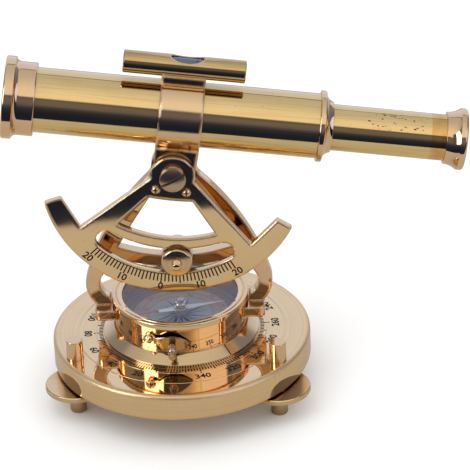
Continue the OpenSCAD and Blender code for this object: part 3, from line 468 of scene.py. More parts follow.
def write(bm, text, height, depth, place, material=0, bold=0.0):
    """Sets a number or letter, height tall, centred at place and facing its Z."""
    curve = bpy.data.curves.new("words", "FONT")
    curve.body = text
    curve.align_x = "CENTER"
    curve.align_y = "CENTER"
    curve.resolution_u = 3
    curve.offset = bold
    holder = add_object("words", curve)
    mesh = evaluated_mesh(holder)
    low = min(v.co.y for v in mesh.vertices)
    tall = max(v.co.y for v in mesh.vertices) - low
    size = height / tall
    mesh.transform(place @ Matrix.Diagonal((size, size, 1.0, 1.0)) @ moved(0, -(low + tall / 2), 0))
    known = set(bm.faces)
    bm.from_mesh(mesh)
    raise_faces(bm, [face for face in bm.faces if face not in known], place.to_3x3() @ UP * depth)
    colour_new(bm, known, material)
    bpy.data.objects.remove(holder)
    bpy.data.curves.remove(curve)
    bpy.data.meshes.remove(mesh)


def rod(radius, length, place, sides):
    """A round bar about the Z axis of place, to carve with."""
    bm = bmesh.new()
    bmesh.ops.create_cone(
        bm, cap_ends=True, segments=sides, radius1=radius, radius2=radius, depth=length, matrix=place)
    return bm


def carve(bm, cutter):
    """Cuts one closed shape out of another."""
    holders = []
    for shape in (bm, cutter):
        close_seams(shape)
        mesh = bpy.data.meshes.new("carving")
        shape.to_mesh(mesh)
        holders.append(add_object("carving", mesh))
    cut = holders[0].modifiers.new("cut", "BOOLEAN")
    cut.object = holders[1]
    cut.solver = "EXACT"
    carved = evaluated_mesh(holders[0])
    bm.clear()
    bm.from_mesh(carved)
    cutter.free()
    for holder in holders:
        mesh = holder.data
        bpy.data.objects.remove(holder)
        bpy.data.meshes.remove(mesh)
    bpy.data.meshes.remove(carved)


def knurled(bm, bore, radius, low, high, teeth, depth, place, dome=0.0):
    """A bored disc about Z with a straight knurl between two bevels, and a face that may be domed."""
    bevel = 0.3 * MM
    rim = high - dome
    flat = radius - bevel - depth
    profile = [
        (bore, low), (flat, low), (radius - depth, low + bevel), (radius, low + bevel),
        (radius, rim - bevel), (radius - depth, rim - bevel)]
    steps = 8 if dome else 1
    for i in range(steps + 1):
        r = flat + (bore - flat) * i / steps
        profile.append((r, rim + dome * (1 - (r / flat) ** 2)))
    verts = spin_profile(bm, profile, 2 * teeth)
    for vert in verts:
        around = math.atan2(vert.co.y, vert.co.x) * teeth / math.pi
        if math.hypot(vert.co.x, vert.co.y) > radius - depth / 2 and round(around) % 2:
            vert.co.xy *= (radius - depth) / radius
    bmesh.ops.transform(bm, matrix=place, verts=verts)


def screw_thread(bm, radius, depth, pitch, low, high, place):
    """A bar about Z whose side is cut by a fine thread, drawn as rings, with a rounded end."""
    root = radius - depth
    turns = int((high - low - 2 * depth) / pitch)
    profile = [(0, low), (root, low)]
    for i in range(turns):
        profile += [(radius, low + (i + 0.5) * pitch), (root, low + (i + 1) * pitch)]
    last = low + turns * pitch
    steps = 6
    for i in range(1, steps + 1):
        turn = math.pi / 2 * i / steps
        profile.append((root * math.cos(turn), last + (high - last) * math.sin(turn)))
    spin_profile(bm, profile, 32, place, closed=False)


class ALIDADE_OT_metal(bpy.types.Operator):
    """Give every brass node of the frame its finish"""

    bl_idname = "alidade.metal"
    bl_label = "Brass"

    def execute(self, context):
        metal = settings("metal")
        polish = metal.polish
        # Lacquered tube drawn through a die: straight marks along it and a yellow tone
        tube = brass("drawn_tube_brass", metal.tube, polish, "drawn", scope)
        # The same tube where the hand and the weather have pitted it
        draw = brass("draw_tube_brass", metal.tube, polish, "drawn", scope, marks_on=draw_tube_marks)
        # Sand-cast brass with more copper, filed and buffed: redder, with soft edges
        casting = brass("cast_brass", metal.casting, polish, stain=0.3, edge=1.3 * MM)
        # Rolled plate, buffed by hand: a pale mirror whose edges are rounded over
        plate = brass("rolled_plate_brass", metal.plate, polish, stain=0.15, edge=1.6 * MM)
        # Turned on a lathe and buffed: rings about the base's axis, on the base hazy at its upper edge
        lathed = brass("turned_brass", metal.plate, polish * 0.8, "turned", stain=0.2)
        base = brass("base_brass_finish", metal.plate, polish * 0.8, "turned", stain=0.2, polish_on=hazy_edge)
        # Freshly turned ring, a little hazy
        hazy = brass("bevel_ring_brass", shade(metal.plate, 0.9), polish * 2.4, "turned", stain=0.2)
        # The saddle's edges are rounded by filing
        filed = brass("filed_brass", metal.casting, polish, stain=0.3, edge=2.0 * MM)
        # Small turned fittings, a little redder than the rest
        fitting = brass("fitting_brass", metal.casting, polish, stain=0.3)
        finishes = {
            tube: ("main_tube",),
            draw: ("draw_tube",),
            casting: ("yoke",),
            plate: ("arc_plate",),
            lathed: ("compass_bezel", "compass_box"),
            base: ("base_plate",),
            hazy: ("index_ring",),
            filed: ("saddle", "level_bracket"),
            fitting: (
                "levelling_screw_front_left", "levelling_screw_front_right", "levelling_screw_rear",
                "bolt_washer", "centre_bolt", "needle_pin", "lock_screw", "pivot_nut", "arc_plate_screws",
                "level_plugs", "objective_cell", "lens_ring", "tube_collar", "draw_guide", "eyepiece_cup",
                "eye_lens_ring"),
        }
        for material, names in finishes.items():
            for name in names:
                cover(name, material)
        return {"FINISHED"}


class ALIDADE_OT_glass(bpy.types.Operator):
    """Give the lenses, the compass glass and the vial their glass"""

    bl_idname = "alidade.glass"
    bl_label = "Glass"

    def execute(self, context):
        # Float glass, flat and clear: a film of dust and lacquer warms what it mirrors
        cover("compass_glass", glass("float_glass", linear("F4F6F8"), 1.45, mirrored=linear("F3D7BC")))
        # Ground crown glass
        lens = glass("crown_glass", linear("E8F0F0"), 1.5)
        cover("objective_lens", lens)
        cover("eye_lens", lens)
        # Blown vial full of tinted spirit
        cover("level_vial", vial_glass("spirit_vial", linear("6E7588")))
        return {"FINISHED"}


class ALIDADE_OT_base_scale(bpy.types.Operator):
    """Engrave the degree scale on the base"""

    bl_idname = "alidade.base_scale"
    bl_label = "Base scale"

    def execute(self, context):
        scales = settings("scales")
        fill = scales.fill
        top = moved(0, 0, BASE_TOP)
        # The scale's zero, in degrees to the left of the front
        zero = 6
        inner = 30.6 * MM
        numeral_r = 36.4 * MM
        circles = (33.3 * MM, 40.3 * MM)
        bm = bmesh.new()
        for degree in range(0, 360, 2):
            outer = (34.2 if degree % 20 == 0 else 33.3 if degree % 10 == 0 else 32.2) * MM
            tick(bm, top @ turned(-zero - degree), inner, outer, scales.line, 2 * fill)
        for degree in range(0, 360, 20):
            place = top @ turned(-zero - degree) @ moved(0, -numeral_r, 0)
            write(bm, str(degree), scales.base_numeral, fill, place, bold=0.022)
        ink = paint("black_wax_filling", linear("1C1712"), 0.6, shine=0.1)
        make_piece("base_scale", bm, [ink], "base", smooth=False)
        # Circles cut with a pointed tool on the lathe, which throws up a low bright burr
        bm = bmesh.new()
        half = 0.25 * MM
        for radius in circles:
            spin_profile(bm, [
                (radius - half, BASE_TOP - fill), (radius + half, BASE_TOP - fill),
                (radius + half, BASE_TOP), (radius, BASE_TOP + 3 * fill), (radius - half, BASE_TOP)], 240)
        metal = settings("metal")
        cut = brass("cut_circle_brass", metal.plate, metal.polish * 2, stain=0.2)
        make_piece("base_circles", bm, [cut], "base", smooth=False)
        return {"FINISHED"}


class ALIDADE_OT_index_line(bpy.types.Operator):
    """Cut the index line across the bevelled ring"""

    bl_idname = "alidade.index_line"
    bl_label = "Index line"

    def execute(self, context):
        # Degrees to the right of the front
        bearing = 40
        # The bevel starts at this height above the base and ends at this gap from the box
        edge_high = 1.5 * MM
        gap = 0.5 * MM
        width = 0.5 * MM
        foot = Vector((0, -INDEX_R, BASE_TOP + edge_high))
        head = Vector((0, -BOX_R - gap, INDEX_TOP))
        along = head - foot
        slope = math.degrees(math.atan2(along.z, along.y))
        place = turned(bearing) @ Matrix.Translation((foot + head) / 2) @ turned(slope, "X")
        bm = bmesh.new()
        bar(bm, (width, along.length, 2 * settings("scales").fill), place)
        ink = paint("index_line_filling", linear("1A1510"), 0.4)
        make_piece("index_line", bm, [ink], "compass", smooth=False)
        return {"FINISHED"}


class ALIDADE_OT_arc_scale(bpy.types.Operator):
    """Engrave the scale on the arc plate"""

    bl_idname = "alidade.arc_scale"
    bl_label = "Arc scale"

    def execute(self, context):
        scales = settings("scales")
        fill = scales.fill
        unit = math.degrees(scales.arc_unit)
        # Divisions to each side of the zero
        span = 20
        inner = 41.7 * MM
        numeral_r = 47.0 * MM
        bm = bmesh.new()
        # The scale's inner circle, in short bars that overlap a little
        steps = 160
        step = 2 * span * unit / steps
        size = (inner * math.radians(step) * 1.05, 0.25 * MM, 2 * fill)
        for i in range(steps):
            bar(bm, size, arc_face @ turned((i + 0.5 - steps / 2) * step) @ moved(0, -inner, 0))
        for i in range(-span, span + 1):
            outer = (45.6 if i % 5 == 0 else 45.0) * MM
            tick(bm, arc_face @ turned(i * unit), inner, outer, scales.line, 2 * fill)
        for i in range(-span, span + 1, 10):
            place = arc_face @ turned(i * unit) @ moved(0, -numeral_r, 0)
            write(bm, str(abs(i)), scales.arc_numeral, fill, place, bold=0.02)
        ink = paint("arc_scale_filling", linear("16100A"), 0.6, shine=0.1)
        make_piece("arc_scale", bm, [ink], "telescope", smooth=False)
        return {"FINISHED"}


class ALIDADE_OT_dial(bpy.types.Operator):
    """Print the compass dial: rim, lettered ring and wind rose"""

    bl_idname = "alidade.dial"
    bl_label = "Compass dial"

    # Order of the inks in the printed dial
    RIM, RING, FIELD, LINE, LETTER = range(5)
    # Radii of the card's hole, its wind rose, the inner and outer circle of its numerals, and its ticks
    HOLE_R = 1.3 * MM
    FIELD_R = 12.4 * MM
    NUMERAL_IN_R = 15.6 * MM
    RING_R = 18.6 * MM
    TICK_R = 21.4 * MM
    # Middles of the letters and of the numerals
    LETTER_MID_R = 14.0 * MM
    NUMERAL_MID_R = 17.1 * MM
    # Thickness of one print
    LAYER = 0.02 * MM

    def execute(self, context):
        dial = settings("dial")
        layer = self.LAYER
        card_thick = 0.3 * MM
        half_line = 0.08 * MM
        tick_wide = 0.14 * MM
        numeral_high = 1.5 * MM
        letter_high = 2.1 * MM
        # The card's north stands this many degrees to the right of the back
        north = turned(-14)
        print_level = moved(0, 0, DIAL_TOP + layer)
        bm = bmesh.new()
        flat_ring(bm, self.HOLE_R, DIAL_R, DIAL_TOP - card_thick, DIAL_TOP, self.RIM)
        flat_ring(bm, self.HOLE_R, self.RING_R, DIAL_TOP, DIAL_TOP + layer, self.RING)
        flat_ring(bm, self.HOLE_R, self.FIELD_R, DIAL_TOP + layer, DIAL_TOP + 2 * layer, self.FIELD)
        for radius in (self.FIELD_R, self.NUMERAL_IN_R, self.RING_R, self.TICK_R):
            flat_ring(bm, radius - half_line, radius + half_line, DIAL_TOP, DIAL_TOP + 3 * layer, self.LINE)
        # Length and half width of the long, the middle and the short rays, in millimetres
        rays = 32
        for i in range(rays):
            long, wide = (12.0, 1.5) if i % 4 == 0 else (11.0, 0.9) if i % 2 == 0 else (9.5, 0.5)
            low = DIAL_TOP + (3 - i % 2 / 2) * layer
            self.ray(bm, north @ turned(360 * i / rays), long * MM, wide * MM, low)
        for degree in range(0, 360, 5):
            length = (1.6 if degree % 30 == 0 else 0.9) * MM
            place = print_level @ north @ turned(degree)
            tick(bm, place, self.TICK_R - length, self.TICK_R, tick_wide, 2 * layer, self.LINE)
        for degree in range(0, 360, 30):
            place = print_level @ north @ turned(-degree) @ moved(0, self.NUMERAL_MID_R, 0)
            write(bm, str(degree), numeral_high, layer, place, self.LETTER)
        for i, letter in enumerate("NESW"):
            place = print_level @ north @ turned(-90 * i) @ moved(0, self.LETTER_MID_R, 0)
            write(bm, letter, letter_high, layer, place, self.LETTER)
        # Offset print on card: flat, slightly chalky inks
        inks = [
            paint("dial_rim_ink", dial.rim, 0.6), paint("dial_ring_ink", dial.ring, 0.6),
            paint("dial_field_ink", dial.field, 0.55), paint("dial_line_ink", dial.ray, 0.55),
            paint("dial_letter_ink", linear("7A2E2A"), 0.55)]
        make_piece("printed_dial", bm, inks, "compass", ["compass_dial"], smooth=False)
        return {"FINISHED"}

    def ray(self, bm, turn, long, wide, low):
        """The dark half of a pointed ray, widest near the card's hole. The other half is left pale."""
        known = set(bm.faces)
        widest_at = 0.22 * long
        corners = ((0, self.HOLE_R, low), (wide, widest_at, low), (0, long, low))
        face = bm.faces.new([bm.verts.new(turn @ Vector(corner)) for corner in corners])
        raise_faces(bm, [face], UP * self.LAYER)
        colour_new(bm, known, self.LINE)


class ALIDADE_OT_needle(bpy.types.Operator):
    """Forge the ridged needle, white with a red end, and turn its beaded cap"""

    bl_idname = "alidade.needle"
    bl_label = "Needle"

    def execute(self, context):
        low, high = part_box("needle")
        long = math.hypot(high.x, max(abs(high.y), abs(low.y)))
        turn = math.atan2(high.y, high.x)
        wide = 1.8 * MM
        edge = 0.15 * MM
        # The red starts half-way along the needle's left arm
        red_from = -0.5 * long
        bm = bmesh.new()
        bmesh.ops.create_circle(bm, cap_ends=True, segments=4, radius=1.0)
        blade = moved(0, 0, low.z) @ Matrix.Diagonal((long, wide, 1, 1))
        bmesh.ops.transform(bm, matrix=blade, verts=bm.verts)
        ridge = bmesh.ops.poke(bm, faces=raise_faces(bm, list(bm.faces), UP * edge))
        for vert in ridge["verts"]:
            vert.co.z += high.z - low.z - edge
        bmesh.ops.bisect_plane(
            bm, geom=[*bm.verts, *bm.edges, *bm.faces], plane_co=(red_from, 0, 0), plane_no=(1, 0, 0))
        for face in bm.faces:
            face.material_index = 0 if face.calc_center_median().x > red_from else 1
        bmesh.ops.rotate(bm, cent=(0, 0, 0), matrix=Matrix.Rotation(turn, 3, "Z"), verts=bm.verts)
        # Enamel brushed on thin steel
        inks = [paint("white_enamel", linear("E9E6E2"), 0.3), paint("red_enamel", linear("B03A34"), 0.3)]
        make_piece("enamelled_needle", bm, inks, "needle", ["needle"], smooth=False)
        # Radius and height of the cap's beads, in millimetres, round the bore for the pin
        beads = (
            (0, 33.8), (0.95, 33.8), (0.95, 29.8), (2.3, 29.8), (2.5, 30.1), (2.5, 30.6), (1.7, 30.9),
            (1.7, 31.5), (2.7, 31.9), (2.75, 32.3), (2.7, 32.7), (1.8, 33.0), (1.8, 33.4), (2.4, 33.8),
            (2.5, 34.2), (2.2, 34.7), (1.2, 35.0), (1.2, 35.3), (1.5, 35.6), (1.4, 36.0), (0.8, 36.3),
            (0, 36.35))
        bm = bmesh.new()
        spin_profile(bm, [(r * MM, z * MM) for r, z in beads], 48, closed=False)
        # Turned, with random tarnish, and darkened in its grooves by the painted shade that brass() lays in
        # corners
        finish = brass("cap_brass", linear("DDC5AD"), settings("metal").polish * 1.6, stain=0.5)
        make_piece("beaded_needle_cap", bm, [finish], "needle", ["needle_cap"])
        return {"FINISHED"}


class ALIDADE_OT_clamp(bpy.types.Operator):
    """Turn the knurled clamp nut and collar and the threaded stud"""

    bl_idname = "alidade.clamp"
    bl_label = "Clamp"

    def execute(self, context):
        metal = settings("metal")
        stud_r = 1.8 * MM
        teeth = 60
        depth = 0.25 * MM
        pitch = 0.6 * MM
        nut_low, nut_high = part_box("clamp_nut")
        nut_r = (nut_high.x - nut_low.x) / 2
        # Turned and knurled, then dulled by fingers
        nut_brass = brass(
            "clamp_brass", shade(metal.plate, 0.85), metal.polish * 2.5, "turned", clamp_axis, 0.5)
        for name, node_name, body, play, dome in (
                ("knurled_clamp_nut", "clamp_nut", "clamp", 0.05 * MM, 0.45 * MM),
                ("knurled_collar", "clamp_collar", "compass", 0.0, 0.0)):
            low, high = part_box(node_name)
            bm = bmesh.new()
            knurled(bm, stud_r + play, nut_r, -high.y, -low.y, teeth, depth, clamp_axis, dome)
            make_piece(name, bm, [nut_brass], body, [node_name])
        low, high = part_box("clamp_stud")
        bm = bmesh.new()
        screw_thread(bm, stud_r, depth, pitch, -high.y, -low.y, clamp_axis)
        # Thread cut with a die, bright as the tube's brass
        thread = brass("stud_brass", metal.tube, metal.polish, stain=0.3)
        make_piece("threaded_stud", bm, [thread], "compass", ["clamp_stud"])
        return {"FINISHED"}


class ALIDADE_OT_pivot(bpy.types.Operator):
    """Turn the pivot screw's domed head and cut its slot"""

    bl_idname = "alidade.pivot"
    bl_label = "Pivot screw"

    def execute(self, context):
        low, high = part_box("pivot_screw")
        radius = (high.x - low.x) / 2
        face = -low.y
        shank_r = 2.5 * MM
        head_thick = 3.4 * MM
        dome = 1.0 * MM
        # The bevel between the head's side and its dome, inwards and downwards
        bevel_in = 0.25 * MM
        bevel_down = 0.3 * MM
        slot_wide = 1.0 * MM
        slot_deep = 1.3 * MM
        slot_turn = 28
        profile = [
            (0, -high.y), (shank_r, -high.y), (shank_r, face - head_thick), (radius, face - head_thick),
            (radius, face - dome - bevel_down)]
        steps = 10
        for i in range(steps + 1):
            r = (radius - bevel_in) * (1 - i / steps)
            profile.append((r, face - dome * (r / radius) ** 2))
        bm = bmesh.new()
        spin_profile(bm, profile, 96, closed=False)
        slot = bmesh.new()
        bar(slot, (4 * radius, slot_wide, 2 * slot_deep), turned(slot_turn) @ moved(0, 0, face))
        carve(bm, slot)
        bmesh.ops.transform(bm, matrix=facing(PIVOT), verts=bm.verts)
        # Turned, dull and brown with handling
        finish = brass("pivot_brass", linear("C4AA8B"), settings("metal").polish * 4, stain=0.6)
        make_piece("domed_pivot_screw", bm, [finish], "compass", ["pivot_screw"])
        return {"FINISHED"}


class ALIDADE_OT_lock(bpy.types.Operator):
    """Bend the needle lock's leaf away from the box and turn its beaded grip"""

    bl_idname = "alidade.lock"
    bl_label = "Needle lock"

    def execute(self, context):
        metal = settings("metal")
        screw = joints["lock_lift"]
        turn = math.degrees(math.atan2(screw["axis"][0], -screw["axis"][1]))
        # At the screw's height: Z up the box's axis, -Y from there through the screw
        at_screw = moved(0, 0, screw["pos_m"][2]) @ turned(turn)
        wall_r = BOX_R + 0.3 * MM
        self.leaf(metal, at_screw, wall_r)
        self.grip(metal, at_screw, wall_r)
        return {"FINISHED"}

    def leaf(self, metal, at_screw, wall_r):
        """Thin leaf that starts on the round wall and is cut to its outline, with a hole for its screw."""
        # Distance from the screw along the leaf, its upper and its lower edge, in millimetres
        outline = (
            (-2.3, 0.3, -0.3), (-1.9, 1.3, -1.3), (-1.2, 1.95, -1.95), (0, 2.3, -2.3), (1.3, 1.9, -1.95),
            (2.4, 1.3, -1.75), (3.6, 1.1, -1.95), (4.8, 1.3, -2.7), (6, 1.8, -3.7), (7.2, 2.25, -4.5),
            (8.6, 2.55, -4.95), (10, 2.55, -5.0), (11.4, 2.1, -4.7), (12.8, 1.2, -4.0), (14.1, 0.05, -3.1),
            (15.3, -1.3, -2.1))
        # The leaf bows away from the wall from beside its screw to its end, its upper edge most
        bow_from = 1.5
        bow_to = outline[-1][0]
        upper_bow = 1.6
        lower_bow = 0.5
        thick = 0.9 * MM
        hole_r = 0.95 * MM
        hole_long = 8 * MM
        last = len(outline) - 1
        bm = bmesh.new()
        bmesh.ops.create_grid(bm, x_segments=last, y_segments=1, size=1.0)
        for vert in bm.verts:
            x, top, low = outline[round((vert.co.x + 1) / 2 * last)]
            z, bow = (top, upper_bow) if vert.co.y > 0 else (low, lower_bow)
            share = min(1, max(0, (x - bow_from) / (bow_to - bow_from)))
            out = math.sqrt(wall_r ** 2 - (x * MM) ** 2) + bow * math.sin(math.pi * share) * MM
            vert.co = (x * MM, -out, z * MM)
        raise_faces(bm, list(bm.faces), (0, -thick, 0))
        carve(bm, rod(hole_r, hole_long, moved(0, -wall_r, 0) @ turned(90, "X"), 32))
        bmesh.ops.transform(bm, matrix=at_screw, verts=bm.verts)
        # Cut from rolled plate, with marks along it, and the painted darker reflection on its broad half
        finish = brass(
            "leaf_brass", metal.plate, metal.polish * 1.6, "drawn", at_screw, 0.4, marks_on=thumb_marks)
        make_piece("bent_lock_leaf", bm, [finish], "lock", ["lock_leaf"])

    def grip(self, metal, at_screw, wall_r):
        """Beaded grip that leans out of the wall."""
        # Radius of the grip at each distance from the box, in millimetres
        beads = (
            (0, 0.3), (1.05, 0.3), (1.05, 1.7), (1.4, 1.9), (1.4, 2.3), (1.1, 2.5), (1.1, 2.7), (1.4, 2.9),
            (1.4, 3.4), (1.15, 3.6), (1.15, 3.8), (1.7, 4.3), (1.75, 4.9), (1.5, 5.5), (1.1, 5.8),
            (1.1, 6.0), (1.35, 6.3), (1.4, 8.0), (1.15, 8.4), (0, 8.5))
        # How far the grip stands round the box from the screw, below it and off the wall
        round_box = 20
        drop = 1.2 * MM
        off_wall = 0.3 * MM
        # How far it leans to the right and downwards
        to_right = 8
        downwards = 10
        bm = bmesh.new()
        spin_profile(bm, [(r * MM, at * MM) for r, at in beads], 48, closed=False)
        place = at_screw @ turned(round_box) @ moved(0, -wall_r - off_wall, -drop)
        place @= turned(to_right) @ turned(90 + downwards, "X")
        bmesh.ops.transform(bm, matrix=place, verts=bm.verts)
        # Turned and never polished again: brown and dull
        finish = brass("grip_brass", linear("BC9E86"), metal.polish * 3, stain=0.5)
        make_piece("beaded_lock_grip", bm, [finish], "lock", ["lock_grip"])


class ALIDADE_OT_level(bpy.types.Operator):
    """Cut the level's window as a scoop, and put in the bubble and its two lines"""

    bl_idname = "alidade.level"
    bl_label = "Level"

    def execute(self, context):
        low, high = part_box("level_vial")
        level = Matrix.Translation((low + high) / 2) @ turned(TUBE_TILT, "Y")
        self.tube(level)
        # The bubble's height above the vial's axis, and half of its length, width and height
        bubble_high = 2.3 * MM
        half_sizes = (4.2 * MM, 1.7 * MM, 0.8 * MM)
        bm = bmesh.new()
        bmesh.ops.create_uvsphere(bm, u_segments=32, v_segments=16, radius=1.0)
        place = level @ moved(0, 0, bubble_high) @ Matrix.Diagonal((*half_sizes, 1))
        bmesh.ops.transform(bm, matrix=place, verts=bm.verts)
        air = glass("air_bubble", linear("F2F4F6"), 1.02)
        make_piece("level_bubble", bm, [air], "telescope")
        # Painted rings beside both ends of the bubble, this far from its middle
        reach = 4.6 * MM
        inner = 3.22 * MM
        outer = 3.28 * MM
        half = 0.12 * MM
        ring = [(inner, -half), (outer, -half), (outer, half), (inner, half)]
        bm = bmesh.new()
        for side in (-reach, reach):
            spin_profile(bm, ring, 48, level @ moved(side, 0, 0) @ turned(90, "Y"))
        ink = paint("vial_line_ink", linear("15130F"), 0.5)
        make_piece("level_lines", bm, [ink], "telescope")
        return {"FINISHED"}

    def tube(self, level):
        """Thin tube, rolled in at both ends, with a shallow scoop filed across its top."""
        outer = 4.25 * MM
        inner = 3.65 * MM
        half = 22.8 * MM
        lip = 0.35 * MM
        scoop_r = 17.5 * MM
        scoop_deep = 1.7 * MM
        # The scoop's middle lies a little towards the eye
        scoop_x = 1.0 * MM
        bm = bmesh.new()
        spin_profile(bm, [
            (inner, -half), (outer - lip, -half), (outer, lip - half), (outer, half - lip),
            (outer - lip, half), (inner, half)], 96, turned(90, "Y"))
        place = moved(scoop_x, 0, outer - scoop_deep + scoop_r) @ turned(90, "X")
        carve(bm, rod(scoop_r, 4 * outer, place, 192))
        bmesh.ops.transform(bm, matrix=level, verts=bm.verts)
        # Browner than the telescope's tubes
        finish = brass(
            "level_tube_brass", linear("D4B37C"), settings("metal").polish * 1.5, "drawn", scope, 0.5)
        make_piece("scooped_level_tube", bm, [finish], "telescope", ["level_tube"])


class ALIDADE_OT_wheels(bpy.types.Operator):
    """Cut the fine knurl round the three thumb wheels"""

    bl_idname = "alidade.wheels"
    bl_label = "Thumb wheels"

    def execute(self, context):
        metal = settings("metal")
        bore = 3.25 * MM
        thick = 2.2 * MM
        teeth = 90
        depth = 0.2 * MM
        # Knurled and handled more than the rest: duller and more tarnished
        wheel_brass = brass("wheel_brass", shade(metal.plate, 0.92), metal.polish * 3, stain=0.5)
        for side in ("front_left", "front_right", "rear"):
            node_name = "thumb_wheel_" + side
            low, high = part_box(node_name)
            middle = (low + high) / 2
            place = moved(middle.x, middle.y, 0)
            bm = bmesh.new()
            knurled(bm, bore, (high.x - low.x) / 2, high.z - thick, high.z, teeth, depth, place)
            make_piece(
                "knurled_wheel_" + side, bm, [wheel_brass], "wheel_" + side, [node_name])
        return {"FINISHED"}


class ALIDADE_OT_stage(bpy.types.Operator):
    """Set the floor, the light and the camera"""

    bl_idname = "alidade.stage"
    bl_label = "Stage"

    def execute(self, context):
        stage = settings("stage")
        self.camera(stage)
        self.floor()
        self.sky()
        self.lamps(stage)
        context.scene.view_settings.view_transform = "Standard"
        return {"FINISHED"}

    def camera(self, stage):
        # What the camera looks at: the middle of the picture
        target = Vector((22.16 * MM, 0, 63.95 * MM))
        data = bpy.data.cameras.new("camera")
        data.sensor_width = 36.0
        data.lens = stage.lens
        data.clip_end = 20.0
        back = Vector((0, -math.cos(stage.elevation), math.sin(stage.elevation)))
        right = Vector((1, 0, 0))
        up = back.cross(right)
        rolled_right = right * math.cos(stage.roll) - up * math.sin(stage.roll)
        rolled_up = right * math.sin(stage.roll) + up * math.cos(stage.roll)
        aim = Matrix((rolled_right, rolled_up, back)).transposed().to_4x4()
        round_object = Matrix.Rotation(stage.azimuth, 4, "Z")
        holder = add_object("camera", data)
        holder.matrix_world = round_object @ Matrix.Translation(target + back * stage.distance) @ aim
        bpy.context.scene.camera = holder

    def floor(self):
        """White sheet that ends in front of the object, past which its metal mirrors the dark room."""
        half = 4.0
        # The sheet's front edge runs slightly askew: where it crosses the middle, and over how much it fades
        edge = -158 * MM
        soft = 2 * MM
        askew = (0.2, 1.0, 0.0)
        bm = bmesh.new()
        bmesh.ops.create_grid(bm, x_segments=1, y_segments=1, size=half)
        mesh = bpy.data.meshes.new("floor")
        bm.to_mesh(mesh)
        bm.free()
        material, tree, place = new_material("white_sheet")
        across = add_node(tree, "ShaderNodeVectorMath", {0: place, 1: askew}, operation="DOT_PRODUCT")
        before_edge = add_node(tree, "ShaderNodeMapRange", {
            "Value": across.outputs["Value"], "From Min": edge + soft, "From Max": edge - soft}).outputs[0]
        mirrored = add_node(tree, "ShaderNodeLightPath").outputs["Is Glossy Ray"]
        hidden = add_node(
            tree, "ShaderNodeMath", {0: before_edge, 1: mirrored}, operation="MULTIPLY").outputs[0]
        white = add_node(tree, "ShaderNodeBsdfDiffuse", {
            "Color": blend(tree, linear("FCFCFC"), linear("BABABA"), mirrored)})
        gone = add_node(tree, "ShaderNodeBsdfTransparent", {"Color": WHITE})
        shader = add_node(tree, "ShaderNodeMixShader", {0: hidden, 1: white.outputs[0], 2: gone.outputs[0]})
        finish_material(tree, shader)
        mesh.materials.append(material)
        floor = add_object("floor", mesh)

    def sky(self):
        """White for the camera. Metal mirrors a dark room in front, a soft box above it and two windows."""
        world = bpy.data.worlds.new("studio")
        bpy.context.scene.world = world
        world.use_nodes = True
        tree = world.node_tree
        tree.nodes.clear()
        way = add_node(tree, "ShaderNodeTexCoord").outputs["Generated"]
        parts = add_node(tree, "ShaderNodeSeparateXYZ", {0: way})
        front = add_node(
            tree, "ShaderNodeMath", {0: parts.outputs[1], 1: -1.0}, operation="MULTIPLY").outputs[0]
        # Angle over the top of the object: 0 is level in front, 90 straight up, 180 level behind
        arch = self.by_angle(tree, parts.outputs[2], front, (
            (-180, (0.80, 0.85, 1.0)), (-95, (0.50, 0.48, 0.50)), (-50, (0.014, 0.020, 0.050)),
            (-20, (0.014, 0.022, 0.055)), (-4, (0.030, 0.040, 0.085)), (4, (0.075, 0.085, 0.15)),
            (9, (0.14, 0.15, 0.22)), (20, (0.17, 0.175, 0.26)), (31, (0.14, 0.14, 0.19)),
            (35, (0.96, 0.96, 0.96)), (57, (0.93, 0.93, 0.95)), (77, (0.76, 0.79, 0.83)),
            (98, (0.62, 0.67, 0.75)), (128, (0.57, 0.62, 0.70)), (129, (0.20, 0.19, 0.20)),
            (131, (0.20, 0.19, 0.20)), (132.5, (0.72, 0.82, 1.06)), (180, (0.76, 0.90, 1.35))))
        # The soft box ends at the left and right, where the room is darker
        side = add_node(tree, "ShaderNodeMapRange", {
            "Value": parts.outputs[0], "From Min": -1.0, "From Max": 1.0}).outputs[0]
        dim = self.bands(tree, side, (
            (0.0, (0.80, 0.80, 0.80)), (0.22, (0.90, 0.90, 0.90)), (0.25, (1, 1, 1)),
            (0.79, (1, 1, 1)), (0.82, (0.24, 0.26, 0.30)), (1.0, (0.20, 0.24, 0.32))))
        arch = add_node(tree, "ShaderNodeMix", {
            "Factor": 1.0, 6: arch.outputs[0], 7: dim.outputs[0]},
            data_type="RGBA", blend_type="MULTIPLY").outputs[2]
        # Low windows to the left and right of the dark front, with the angle to the right of the front
        windows = self.by_angle(tree, parts.outputs[0], front, (
            (-142, (0.3, 0.33, 0.45, 0)), (-132, (0.3, 0.33, 0.45, 1)), (-72, (0.18, 0.2, 0.3, 1)),
            (-69, (4.0, 4.8, 6.2, 1)), (-46, (4.0, 4.8, 6.2, 1)), (-43, (0.12, 0.12, 0.13, 1)),
            (-24, (0.12, 0.12, 0.13, 1)), (-21, (0.1, 0.1, 0.12, 0)), (30, (0.1, 0.1, 0.12, 0)),
            (33, (0.95, 1.05, 1.6, 1)), (82, (0.95, 1.05, 1.6, 1)), (86, (0.14, 0.17, 0.35, 1)),
            (132, (0.25, 0.28, 0.4, 1)), (142, (0.25, 0.28, 0.4, 0))))
        rise = add_node(tree, "ShaderNodeMath", {0: parts.outputs[2]}, operation="ARCSINE").outputs[0]
        low = within(tree, rise, math.radians(8), math.radians(42), math.radians(4))
        mirror = blend(tree, arch, windows.outputs[0], low, windows.outputs[1])
        path = add_node(tree, "ShaderNodeLightPath")
        seen = blend(tree, (0.98, 0.98, 0.98, 1), mirror, path.outputs["Is Glossy Ray"])
        seen = blend(tree, seen, mirror, path.outputs["Is Transmission Ray"])
        seen = blend(tree, seen, WHITE, path.outputs["Is Camera Ray"])
        light = add_node(tree, "ShaderNodeBackground", {"Color": seen, "Strength": 1.0})
        add_node(tree, "ShaderNodeOutputWorld", {"Surface": light.outputs[0]})

